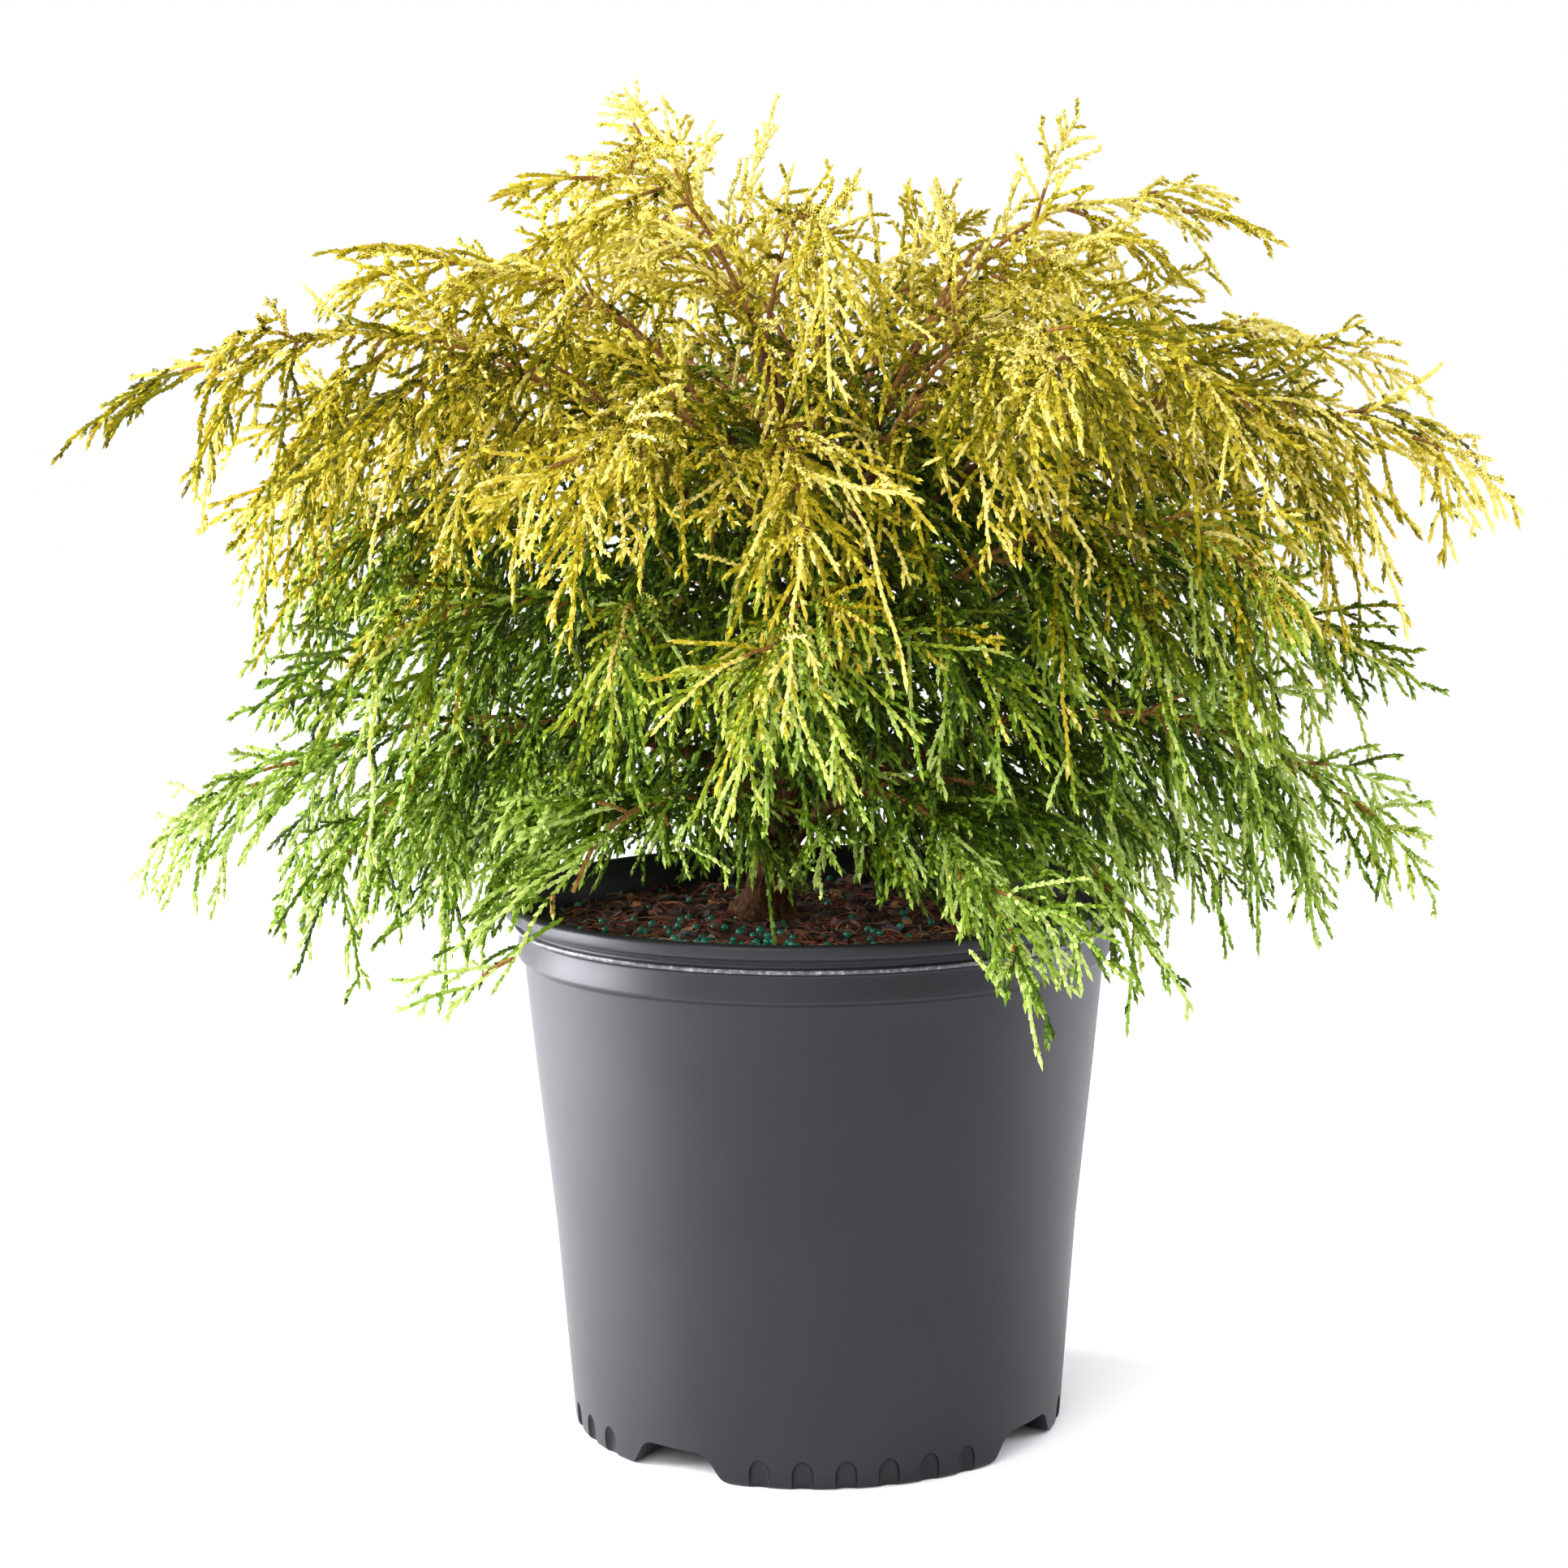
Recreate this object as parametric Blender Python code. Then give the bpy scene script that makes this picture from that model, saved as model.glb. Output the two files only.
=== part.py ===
# Golden threadleaf sawara cypress in its nursery pot.
# Lengths are in millimetres up to the meshes, which are in metres. +Z is up, -Y is the front.
# The origin is on the pot's axis, in the plane that the pot stands on.
import math
import random

import bmesh
import bpy
from mathutils import Matrix, Vector
from mathutils.bvhtree import BVHTree

MM = 0.001
GAP = 0.3
SEED = 41

# Pot: a moulded shell with a rolled lip, two raised lines and a step under them
POT_SIDES = 40
POT_WALL = 2.0
POT_HEIGHT = 241.0
LIP_RADIUS = 140.0
FLOOR_UNDER = 13.0
FLOOR_TOP = 15.2
FOOT_RADIUS = 112.0
FOOT_INNER_RADIUS = 97.0
POT_OUTSIDE = (
    (FOOT_RADIUS - 0.8, 0.0), (FOOT_RADIUS + 0.8, 22.0), (118.4, 94.0), (126.0, 166.0), (130.6, 213.5),
    (132.4, 216.0), (133.2, 227.0), (134.8, 228.2), (133.8, 231.0), (135.4, 233.0), (LIP_RADIUS, 235.2),
    (LIP_RADIUS, 239.6), (LIP_RADIUS - 1.4, POT_HEIGHT), (LIP_RADIUS - 3.6, POT_HEIGHT),
)
POT_INSIDE = (
    (131.8, 231.0), (130.6 - POT_WALL, 213.5), (126.0 - POT_WALL, 166.0), (118.4 - POT_WALL, 94.0),
    (FOOT_RADIUS - POT_WALL, FLOOR_TOP),
)

# Foot: four feet with a drain notch between each two, and round-topped flutes in each foot
FEET = 4
FOOT_TURN = -79.0
NOTCH_TOP_WIDTH = 32.0
NOTCH_FOOT_WIDTH = 46.0
FLUTES_PER_FOOT = 6
FLUTE_PITCH = 10.0
FLUTE_WIDTH = 9.0
FLUTE_HEIGHT = 12.0
FLUTE_DEPTH = 2.6

# Soil: fills the pot to a little below its rim, level round the trunk
SOIL_SIDES = 20
SOIL_TOP = 227.0
SOIL_EDGE_TOP = 225.0
SOIL_LEVEL_RADIUS = 60.0

# Trunk: short and leaning, with a root flare, to its tip inside the crown
TRUNK_SIDES = 8
TRUNK_PATH = (
    (-22.0, 16.0, SOIL_TOP + GAP), (-20.0, 15.0, 237.0), (-16.0, 12.0, 262.0), (-9.0, 7.0, 300.0),
    (-3.0, 2.0, 345.0), (3.0, -1.0, 392.0), (6.0, 1.0, 440.0),
)
TRUNK_RADII = (17.0, 11.5, 10.0, 9.2, 8.0, 6.4, 4.2)
ROOT_LOBES = 4
ROOT_LOBE_DEPTH = 0.16

# Limbs, tier by tier: a limb leaves the trunk, lifts over its bend and ends at its tip.
# Where bough is above 0, that share of the limb is bare wood and the rest carries foliage.
# reach_side makes a tier longer to the left, reach_round makes it wider than it is deep.
TIERS = {
    "skirt": dict(count=7, turn=-66.0, low=262.0, high=288.0, steps=3, bend_share=0.58, bend_height=352.0,
                  reach=240.0, reach_side=-0.04, reach_round=0.10, tip_height=258.0, bough=0.24,
                  bough_radius=4.4, spread=0.56, droop=0.42),
    "waist": dict(count=7, turn=-92.0, low=298.0, high=326.0, steps=3, bend_share=0.55, bend_height=440.0,
                  reach=232.0, reach_side=-0.01, reach_round=0.08, tip_height=374.0, bough=0.0,
                  bough_radius=3.4, spread=0.50, droop=0.40),
    "shoulder": dict(count=8, turn=-112.0, low=342.0, high=380.0, steps=3, bend_share=0.50, bend_height=520.0,
                     reach=272.0, reach_side=0.0, reach_round=0.07, tip_height=456.0, bough=0.24,
                     bough_radius=4.2, spread=0.54, droop=0.42),
    "dome": dict(count=6, turn=-57.0, low=390.0, high=408.0, steps=2, bend_share=0.42, bend_height=566.0,
                 reach=178.0, reach_side=-0.03, reach_round=0.05, tip_height=526.0, bough=0.24,
                 bough_radius=3.6, spread=0.60, droop=0.30),
    "top": dict(count=3, turn=34.0, low=423.0, high=431.0, steps=3, bend_share=0.42, bend_height=540.0,
                reach=88.0, reach_side=-0.10, reach_round=0.0, tip_height=562.0, bough=0.0,
                bough_radius=3.2, spread=0.56, droop=0.10),
    "leader": dict(count=1, turn=172.0, low=440.0, high=440.0, steps=1, bend_share=0.10, bend_height=530.0,
                   reach=84.0, reach_side=0.0, reach_round=0.0, tip_height=598.0, bough=0.0,
                   bough_radius=3.2, spread=0.50, droop=0.05),
}
AZIMUTH_JITTER = 5.0
HEIGHT_JITTER = 8.0
STAGGER = 34.0
REACH_JITTER = 0.035
SIDE_BOW = 14.0
BOUGH_SIDES = 5
BOUGH_RINGS = 4
BOUGH_TAPER = 0.62

# Foliage: sprays stand all round a mass's stem, each a flat twig with shoots for teeth.
# They shorten towards the stem's tip, and droop more towards their own.
STEM_SIDES = 3
STEM_RINGS = 6
STEM_RADIUS = 3.4
STEM_TIP_RADIUS = 2.2
SPRAYS_PER_STEM = 6
FIRST_SPRAY = 0.07
LAST_SPRAY = 0.93
SPRAY_PLACE_JITTER = 0.2
SPRAY_SHORTENING = 0.55
SPRAY_ANGLE = 38.0
SPRAY_ROLL = 137.5
SPRAY_ROLL_START = 20.0
SPRAY_TILT = 30.0
SPRAY_STATIONS = 5
SPRAY_HALF_WIDTH = 2.8
SPRAY_HALF_THICKNESS = 2.2
SPRAY_THINNING = 0.18
CROWN_MIDDLE = (0.0, 0.0, 330.0)
SHOOT_ANGLE = 37.0
SHOOT_SHARE = 0.68
SHOOT_SHORTENING = 0.22
SHOOT_DROOP = 0.14
BUD_SHARE = 1.3
ANGLE_JITTER = 6.0
LENGTH_JITTER = 0.13

# Room: how much nearer its own stem than any other a line must be, and its distance from wood
SPINE_APART = 8.0
SHOOT_APART = 6.0
EDGE_APART = 3.4
LIMB_CLEARANCE = 3.4
POT_CLEARANCE = 4.0
SAMPLE_STEP = 4.0
SHORTER_TRIES = (1.0, 0.85, 0.7, 0.55)
SHORTEST = 14.0

COLOURS = {
    "pot": (0.085, 0.083, 0.098),
    "soil": (0.035, 0.020, 0.014),
    "bark": (0.16, 0.085, 0.050),
    "skirt": (0.16, 0.31, 0.050),
    "waist": (0.23, 0.33, 0.045),
    "shoulder": (0.48, 0.42, 0.050),
    "dome": (0.62, 0.50, 0.075),
    "top": (0.66, 0.53, 0.090),
    "leader": (0.66, 0.53, 0.090),
}


def clear_scene():
    for obj in list(bpy.data.objects):
        bpy.data.objects.remove(obj, do_unlink=True)


def make_material(name, colour, roughness):
    material = bpy.data.materials.new(name)
    material.use_nodes = True
    shader = material.node_tree.nodes["Principled BSDF"]
    shader.inputs["Base Color"].default_value = (*colour, 1.0)
    shader.inputs["Roughness"].default_value = roughness
    material.diffuse_color = (*colour, 1.0)
    return material


def make_object(name, mesh, material=None, collection=None):
    obj = bpy.data.objects.new(name, mesh)
    if material is not None:
        mesh.materials.clear()
        mesh.materials.append(material)
    (collection or bpy.context.scene.collection).objects.link(obj)
    return obj


def mesh_from(name, points, faces):
    mesh = bpy.data.meshes.new(name)
    mesh.from_pydata([tuple(MM * value for value in point) for point in points], [], faces)
    work = bmesh.new()
    work.from_mesh(mesh)
    bmesh.ops.recalc_face_normals(work, faces=work.faces)
    work.to_mesh(mesh)
    work.free()
    return mesh


def turned_mesh(name, profile, sides, bottom, top):
    # The profile is turned about Z, and closed on the axis at heights bottom and top
    points = []
    for radius, height in profile:
        for side in range(sides):
            angle = 2.0 * math.pi * side / sides
            points.append((radius * math.cos(angle), radius * math.sin(angle), height))
    faces = []
    for ring in range(len(profile) - 1):
        for side in range(sides):
            after = (side + 1) % sides
            low, high = ring * sides, (ring + 1) * sides
            faces.append((low + side, low + after, high + after, high + side))
    first, last = len(points), len(points) + 1
    points += [(0.0, 0.0, bottom), (0.0, 0.0, top)]
    rim = (len(profile) - 1) * sides
    for side in range(sides):
        after = (side + 1) % sides
        faces.append((first, after, side))
        faces.append((last, rim + side, rim + after))
    return mesh_from(name, points, faces)


def apply_boolean(obj, operation, solver, tool=None, tools=None):
    modifier = obj.modifiers.new(operation.lower(), "BOOLEAN")
    modifier.operation = operation
    modifier.solver = solver
    if tools is not None:
        modifier.operand_type = "COLLECTION"
        modifier.collection = tools
    else:
        modifier.object = tool
    graph = bpy.context.evaluated_depsgraph_get()
    mesh = bpy.data.meshes.new_from_object(obj.evaluated_get(graph))
    obj.modifiers.remove(modifier)
    old, name = obj.data, obj.data.name
    obj.data = mesh
    bpy.data.meshes.remove(old)
    mesh.name = name


def notch_cutter(angle):
    # A trapezium with its wide side down, run outwards through the foot
    low, high = -4.0, FLOOR_UNDER
    foot_half = NOTCH_FOOT_WIDTH / 2.0 + 1.5
    top_half = NOTCH_TOP_WIDTH / 2.0
    outline = ((-foot_half, low), (foot_half, low), (top_half, high), (-top_half, high))
    points = []
    for distance in (FOOT_INNER_RADIUS - 14.0, FOOT_RADIUS + 12.0):
        for across, height in outline:
            points.append((distance, across, height))
    faces = [(3, 2, 1, 0), (4, 5, 6, 7)]
    for corner in range(4):
        after = (corner + 1) % 4
        faces.append((corner, after, after + 4, corner + 4))
    turn = Matrix.Rotation(math.radians(angle), 3, "Z")
    return [tuple(turn @ Vector(point)) for point in points], faces


def flute_cutter(angle):
    # Half an egg standing on its flat side, sunk into the foot's outside
    sides, rings = 8, 2
    points = []
    for ring in range(rings):
        rise = 0.5 * math.pi * ring / rings
        for side in range(sides):
            around = 2.0 * math.pi * side / sides
            points.append((
                FOOT_RADIUS + 0.2 + FLUTE_DEPTH * math.cos(rise) * math.cos(around),
                FLUTE_WIDTH / 2.0 * math.cos(rise) * math.sin(around),
                -2.0 + (FLUTE_HEIGHT + 2.0) * math.sin(rise),
            ))
    points.append((FOOT_RADIUS + 0.2, 0.0, FLUTE_HEIGHT))
    faces = [tuple(reversed(range(sides)))]
    for ring in range(rings - 1):
        for side in range(sides):
            after = (side + 1) % sides
            low, high = ring * sides, (ring + 1) * sides
            faces.append((low + side, low + after, high + after, high + side))
    rim = (rings - 1) * sides
    for side in range(sides):
        faces.append((rim + side, rim + (side + 1) % sides, rings * sides))
    turn = Matrix.Rotation(math.radians(angle), 3, "Z")
    return [tuple(turn @ Vector(point)) for point in points], faces


def build_pot(material):
    underside = ((FOOT_INNER_RADIUS - 1.0, FLOOR_UNDER), (FOOT_INNER_RADIUS, 0.0))
    profile = underside + POT_OUTSIDE + POT_INSIDE
    pot = make_object("pot", turned_mesh("pot", profile, POT_SIDES, FLOOR_UNDER, FLOOR_TOP), material)
    points, faces = [], []
    for foot in range(FEET):
        middle = FOOT_TURN + 360.0 / FEET * foot
        cutters = [notch_cutter(middle + 180.0 / FEET)]
        for flute in range(FLUTES_PER_FOOT):
            cutters.append(flute_cutter(middle + FLUTE_PITCH * (flute - (FLUTES_PER_FOOT - 1) / 2.0)))
        for cutter_points, cutter_faces in cutters:
            start = len(points)
            points += cutter_points
            faces += [tuple(start + corner for corner in face) for face in cutter_faces]
    cutter = make_object("foot_cutter", mesh_from("foot_cutter", points, faces))
    apply_boolean(pot, "DIFFERENCE", "EXACT", tool=cutter)
    bpy.data.objects.remove(cutter, do_unlink=True)
    pot.data.shade_smooth()
    pot.data.set_sharp_from_angle(angle=math.radians(24.0))
    return pot


def inside_radius(height):
    outline = sorted((z, r) for r, z in POT_INSIDE)
    for (low, low_radius), (high, high_radius) in zip(outline, outline[1:]):
        if low <= height <= high:
            share = (height - low) / (high - low)
            return low_radius + share * (high_radius - low_radius)
    return outline[-1][1]


def build_soil(material):
    levels = [FLOOR_TOP + GAP] + [z for z in sorted(z for _, z in POT_INSIDE) if FLOOR_TOP < z < SOIL_EDGE_TOP]
    levels.append(SOIL_EDGE_TOP)
    profile = [(inside_radius(z) - 1.2 * GAP, z) for z in levels]
    profile.append((SOIL_LEVEL_RADIUS, SOIL_TOP))
    soil = make_object("soil", turned_mesh("soil", profile, SOIL_SIDES, FLOOR_TOP + GAP, SOIL_TOP), material)
    soil.data.shade_smooth()
    soil.data.set_sharp_from_angle(angle=math.radians(24.0))
    return soil


def frames_along(path, evenly_spaced=True):
    # A direction and two square ones at each point, carried along without a twist
    tangents = []
    for index in range(len(path)):
        before = path[max(index - 1, 0)]
        after = path[min(index + 1, len(path) - 1)]
        tangents.append((after - before).normalized())
    if evenly_spaced and len(path) > 2:
        tangents[0] = (3.0 * (path[1] - path[0]) - (path[2] - path[1])).normalized()
        tangents[-1] = (3.0 * (path[-1] - path[-2]) - (path[-2] - path[-3])).normalized()
    side = tangents[0].cross(Vector((0.0, 0.0, 1.0)))
    if side.length < 0.2:
        side = tangents[0].cross(Vector((0.0, 1.0, 0.0)))
    side.normalize()
    frames = []
    for tangent in tangents:
        side = (side - tangent * side.dot(tangent)).normalized()
        frames.append((tangent, side, tangent.cross(side)))
    return frames


def tube_mesh(name, path, radii, sides, pointed=False, lobes=None):
    # Rings round a path; a pointed tube ends in a tip, any other in a flat cap
    points, faces = [], []
    rings = len(path) - 1 if pointed else len(path)
    for index, (_, side, up) in enumerate(frames_along(path, lobes is None)[:rings]):
        for corner in range(sides):
            angle = 2.0 * math.pi * (corner + 0.5) / sides
            radius = radii[index]
            if lobes is not None:
                radius *= 1.0 + lobes[index] * math.cos(ROOT_LOBES * angle)
            points.append(path[index] + radius * (math.cos(angle) * side + math.sin(angle) * up))
    for ring in range(rings - 1):
        for corner in range(sides):
            after = (corner + 1) % sides
            low, high = ring * sides, (ring + 1) * sides
            faces.append((low + corner, low + after, high + after, high + corner))
    faces.append(tuple(reversed(range(sides))))
    last = (rings - 1) * sides
    if pointed:
        points.append(path[-1])
        for corner in range(sides):
            faces.append((last + corner, last + (corner + 1) % sides, len(points) - 1))
    else:
        faces.append(tuple(range(last, last + sides)))
    return mesh_from(name, points, faces)


def build_trunk(material):
    path = [Vector(point) for point in TRUNK_PATH]
    lobes = [ROOT_LOBE_DEPTH, ROOT_LOBE_DEPTH / 3.0] + [0.0] * (len(path) - 2)
    mesh = tube_mesh("trunk", path, TRUNK_RADII, TRUNK_SIDES, lobes=lobes)
    for vertex in mesh.vertices[:TRUNK_SIDES]:
        vertex.co.z = MM * path[0].z
    trunk = make_object("trunk", mesh, material)
    trunk.data.shade_smooth()
    return trunk


def trunk_at(height):
    # The trunk's axis and radius at a height
    for index in range(len(TRUNK_PATH) - 1):
        low, high = Vector(TRUNK_PATH[index]), Vector(TRUNK_PATH[index + 1])
        if height <= high.z or index == len(TRUNK_PATH) - 2:
            share = (height - low.z) / (high.z - low.z)
            radius = TRUNK_RADII[index] + share * (TRUNK_RADII[index + 1] - TRUNK_RADII[index])
            return low.lerp(high, share), radius


def limb_curve(start, bend, tip, share):
    return (1.0 - share) ** 2 * start + 2.0 * share * (1.0 - share) * bend + share ** 2 * tip


def limb_path(limb, first, last, count):
    shares = [first + (last - first) * index / (count - 1) for index in range(count)]
    return [limb_curve(limb["start"], limb["bend"], limb["tip"], share) for share in shares]


def plan_limbs(rng):
    limbs = []
    for tier, size in TIERS.items():
        for index in range(size["count"]):
            azimuth = size["turn"] + 360.0 * index / size["count"] + rng.uniform(-1.0, 1.0) * AZIMUTH_JITTER
            angle = math.radians(azimuth)
            outward = Vector((math.cos(angle), math.sin(angle), 0.0))
            sideways = Vector((-math.sin(angle), math.cos(angle), 0.0))
            step = (index % size["steps"]) / max(size["steps"] - 1, 1)
            height = size["low"] + step * (size["high"] - size["low"])
            reach = size["reach"] * (1.0 + size["reach_side"] * math.cos(angle)
                                     + size["reach_round"] * math.cos(2.0 * angle)
                                     + rng.uniform(-1.0, 1.0) * REACH_JITTER)
            axis, trunk_radius = trunk_at(height)
            bend = outward * reach * size["bend_share"] + sideways * rng.uniform(-1.0, 1.0) * SIDE_BOW
            lift = STAGGER * (index % 2 - 0.5)
            bend.z = size["bend_height"] + lift + rng.uniform(-1.0, 1.0) * HEIGHT_JITTER
            tip = outward * reach
            tip.z = size["tip_height"] + lift + rng.uniform(-1.0, 1.0) * HEIGHT_JITTER
            away = Vector((0.0, 0.0, 1.0)) if tier == "leader" else outward
            start = axis + away * (trunk_radius + size["bough_radius"])
            limbs.append(dict(tier=tier, number=index + 1, start=start, bend=bend, tip=tip,
                              away=away, radius=size["bough_radius"], bough=size["bough"]))
    return limbs


def bough_radii(limb, count):
    return [limb["radius"] * (1.0 - (1.0 - BOUGH_TAPER) * index / (count - 1)) for index in range(count)]


def build_bough(limb, material):
    path = limb_path(limb, 0.0, limb["bough"], BOUGH_RINGS)
    name = "{tier}_bough_{number}".format(**limb)
    mesh = tube_mesh(name, path, bough_radii(limb, BOUGH_RINGS), BOUGH_SIDES)
    bough = make_object(name, mesh, material)
    bough.data.shade_smooth()
    bough.data.set_sharp_from_angle(angle=math.radians(65.0))
    return bough


def clearance(trunk_tree, point):
    # Distance from the trunk's surface, below 0 inside it
    nearest, normal, _, distance = trunk_tree.find_nearest(point)
    return distance if (point - nearest).dot(normal) > 0.0 else -distance


def seat_on_trunk(limb, trunk_tree, sides, count):
    # Slides the limb's foot to or from the trunk until it stands one gap clear of it
    last = limb["bough"] or 0.3
    for _ in range(6):
        path = limb_path(limb, 0.0, last, count)
        mesh = tube_mesh("probe", path, bough_radii(limb, count), sides)
        rim = [vertex.co.copy() for vertex in mesh.vertices[:sides]]
        bpy.data.meshes.remove(mesh)
        middle = sum(rim, Vector()) / sides
        points = rim + [rim[corner - 1].lerp(rim[corner], 0.5) for corner in range(sides)]
        points += [point.lerp(middle, 0.5) for point in points] + [middle]
        nearest = min(clearance(trunk_tree, point) for point in points)
        limb["start"] += limb["away"] * (GAP - nearest / MM)


def sample(path, step):
    points = []
    for low, high in zip(path, path[1:]):
        pieces = max(1, math.ceil((high - low).length / step))
        points += [low.lerp(high, index / pieces) for index in range(pieces)]
    points.append(path[-1])
    return points


def distance_to(path, point):
    best = math.inf
    for low, high in zip(path, path[1:]):
        along = high - low
        share = max(0.0, min(1.0, (point - low).dot(along) / along.length_squared))
        best = min(best, (low + share * along - point).length)
    return best


def clear_of_pot(point):
    radius = math.hypot(point.x, point.y)
    if point.z > POT_HEIGHT + POT_CLEARANCE or radius > LIP_RADIUS + POT_CLEARANCE:
        return True
    return point.z > SOIL_TOP + POT_CLEARANCE and radius < inside_radius(SOIL_TOP) - POT_CLEARANCE


def keeps_its_space(path, own, stems, woods, apart, skip_first):
    # True where every point is nearer to its own stem than to any other, and off all the wood
    for point in sample(path, SAMPLE_STEP)[skip_first:]:
        if not clear_of_pot(point):
            return False
        limit = distance_to(stems[own], point) + apart
        for other, stem in stems.items():
            if other != own and distance_to(stem, point) < limit:
                return False
        for wood, radius in woods:
            if distance_to(wood, point) < radius + LIMB_CLEARANCE:
                return False
    return True


def drooping_path(root, direction, length, droop, count):
    path = []
    for index in range(count):
        share = index / (count - 1)
        drop = Vector((0.0, 0.0, -droop * length * share * share))
        path.append(root + direction * length * share + drop)
    return path


def facing_frames(path, tilt):
    # Lays a spray's flat side along the crown's surface, give or take its tilt
    outward = (path[1] - Vector(CROWN_MIDDLE)).normalized()
    frames = []
    for tangent, _, _ in frames_along(path):
        side = tangent.cross(outward)
        if side.length < 0.15:
            side = tangent.cross(Vector((0.0, 0.0, 1.0)))
        side.normalize()
        side = side * math.cos(tilt) + tangent.cross(side) * math.sin(tilt)
        frames.append((tangent, side, tangent.cross(side)))
    return frames


def plan_shoots(path, frames, own, stems, woods, rng):
    # One shoot to each side between every two stations of the twig, or none where it has no room
    length = (path[-1] - path[0]).length
    shoots = []
    for index in range(1, len(path) - 1):
        tangent, side, _ = frames[index]
        middle = path[index - 1].lerp(path[index], 0.5)
        for sign in (1.0, -1.0):
            edge = sign * side * SPRAY_HALF_WIDTH
            angle = math.radians(SHOOT_ANGLE + rng.uniform(-1.0, 1.0) * ANGLE_JITTER)
            reach = length * SHOOT_SHARE * (1.1 - SHOOT_SHORTENING * index)
            reach *= 1.0 + rng.uniform(-1.0, 1.0) * LENGTH_JITTER
            direction = tangent * math.cos(angle) + sign * side * math.sin(angle)
            shoot = middle + BUD_SHARE * edge
            for shorter in SHORTER_TRIES:
                tip = middle + direction * reach * shorter
                tip.z -= SHOOT_DROOP * reach * shorter
                lines = ((middle, SHOOT_APART), (path[index - 1] + edge, EDGE_APART),
                         (path[index] + edge, EDGE_APART))
                if all(keeps_its_space([root, tip], own, stems, woods, apart, 1) for root, apart in lines):
                    shoot = tip
                    break
            shoots.append(shoot)
    return shoots


def plan_sprays(limb, name, stems, woods, rng):
    # Sprays all round the stem, one after another along it, each with room of its own
    size = TIERS[limb["tier"]]
    stem = stems[name]
    length = sum((high - low).length for low, high in zip(stem, stem[1:]))
    frames = frames_along(stem)
    sprays = []
    for index in range(SPRAYS_PER_STEM):
        step = (index + rng.uniform(-1.0, 1.0) * SPRAY_PLACE_JITTER) / (SPRAYS_PER_STEM - 1)
        share = FIRST_SPRAY + (LAST_SPRAY - FIRST_SPRAY) * max(0.0, min(1.0, step))
        place = share * (len(stem) - 1)
        low = min(int(place), len(stem) - 2)
        root = stem[low].lerp(stem[low + 1], place - low)
        tangent, side, up = frames[low]
        angle = math.radians(SPRAY_ANGLE + rng.uniform(-1.0, 1.0) * ANGLE_JITTER)
        roll = math.radians(SPRAY_ROLL_START + SPRAY_ROLL * index)
        tilt = math.radians(SPRAY_TILT) * rng.uniform(-1.0, 1.0)
        aside = side * math.cos(roll) + up * math.sin(roll)
        direction = (tangent * math.cos(angle) + aside * math.sin(angle)).normalized()
        reach = length * size["spread"] * (1.0 - SPRAY_SHORTENING * share)
        reach *= 1.0 + rng.uniform(-1.0, 1.0) * LENGTH_JITTER
        for shorter in SHORTER_TRIES:
            if reach * shorter < SHORTEST:
                break
            path = drooping_path(root, direction, reach * shorter, size["droop"], SPRAY_STATIONS)
            if keeps_its_space(path, name, stems, woods, SPINE_APART, 2):
                spray_frames = facing_frames(path, tilt)
                shoots = plan_shoots(path, spray_frames, name, stems, woods, rng)
                sprays.append((path, spray_frames, shoots))
                break
    return sprays


def spray_mesh(path, frames, shoots):
    # A flat spine, thickest in its middle line, with a pointed tooth for each shoot
    points, faces = [], []
    stations = len(path) - 1
    for index in range(stations):
        _, side, up = frames[index]
        slim = 1.0 - SPRAY_THINNING * index
        across, thick = side * SPRAY_HALF_WIDTH * slim, up * SPRAY_HALF_THICKNESS * slim
        points += [path[index] + across, path[index] + thick, path[index] - across, path[index] - thick]
    for index in range(stations - 1):
        low, high = 4 * index, 4 * index + 4
        for edge, shoot in ((0, shoots[2 * index]), (2, shoots[2 * index + 1])):
            tooth = len(points)
            points.append(shoot)
            for ridge in (1, 3):
                faces.append((low + ridge, low + edge, tooth))
                faces.append((low + ridge, tooth, high + ridge))
                faces.append((high + ridge, tooth, high + edge))
    last = 4 * (stations - 1)
    points.append(path[-1])
    for corner in range(4):
        faces.append((last + corner, last + (corner + 1) % 4, len(points) - 1))
    faces.append((0, 1, 2, 3))
    return mesh_from("spray", points, faces)


def drop_scraps(mesh):
    # Keeps the largest closed piece and faces it outwards
    work = bmesh.new()
    work.from_mesh(mesh)
    bmesh.ops.triangulate(work, faces=work.faces)
    groups, seen = [], set()
    for start in work.verts:
        if start in seen:
            continue
        group, todo = set(), [start]
        while todo:
            vertex = todo.pop()
            if vertex in group:
                continue
            group.add(vertex)
            todo += [edge.other_vert(vertex) for edge in vertex.link_edges]
        seen |= group
        groups.append(group)
    largest = max(groups, key=len)
    bmesh.ops.delete(work, geom=[vertex for vertex in work.verts if vertex not in largest], context="VERTS")
    bmesh.ops.recalc_face_normals(work, faces=work.faces)
    work.to_mesh(mesh)
    work.free()


def build_mass(name, stem, sprays, material):
    stem_radii = [STEM_RADIUS + (STEM_TIP_RADIUS - STEM_RADIUS) * index / STEM_RINGS
                  for index in range(STEM_RINGS + 1)]
    mesh = tube_mesh(name, stem, stem_radii, STEM_SIDES, pointed=True)
    mass = make_object(name, mesh, material)
    group = bpy.data.collections.new(name + "_sprays")
    bpy.context.scene.collection.children.link(group)
    for spray in sprays:
        make_object("spray", spray_mesh(*spray), collection=group)
    apply_boolean(mass, "UNION", "MANIFOLD", tools=group)
    for obj in list(group.objects):
        bpy.data.objects.remove(obj, do_unlink=True)
    bpy.data.collections.remove(group)
    drop_scraps(mass.data)
    mass.data.materials.clear()
    mass.data.materials.append(material)
    return mass


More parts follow.
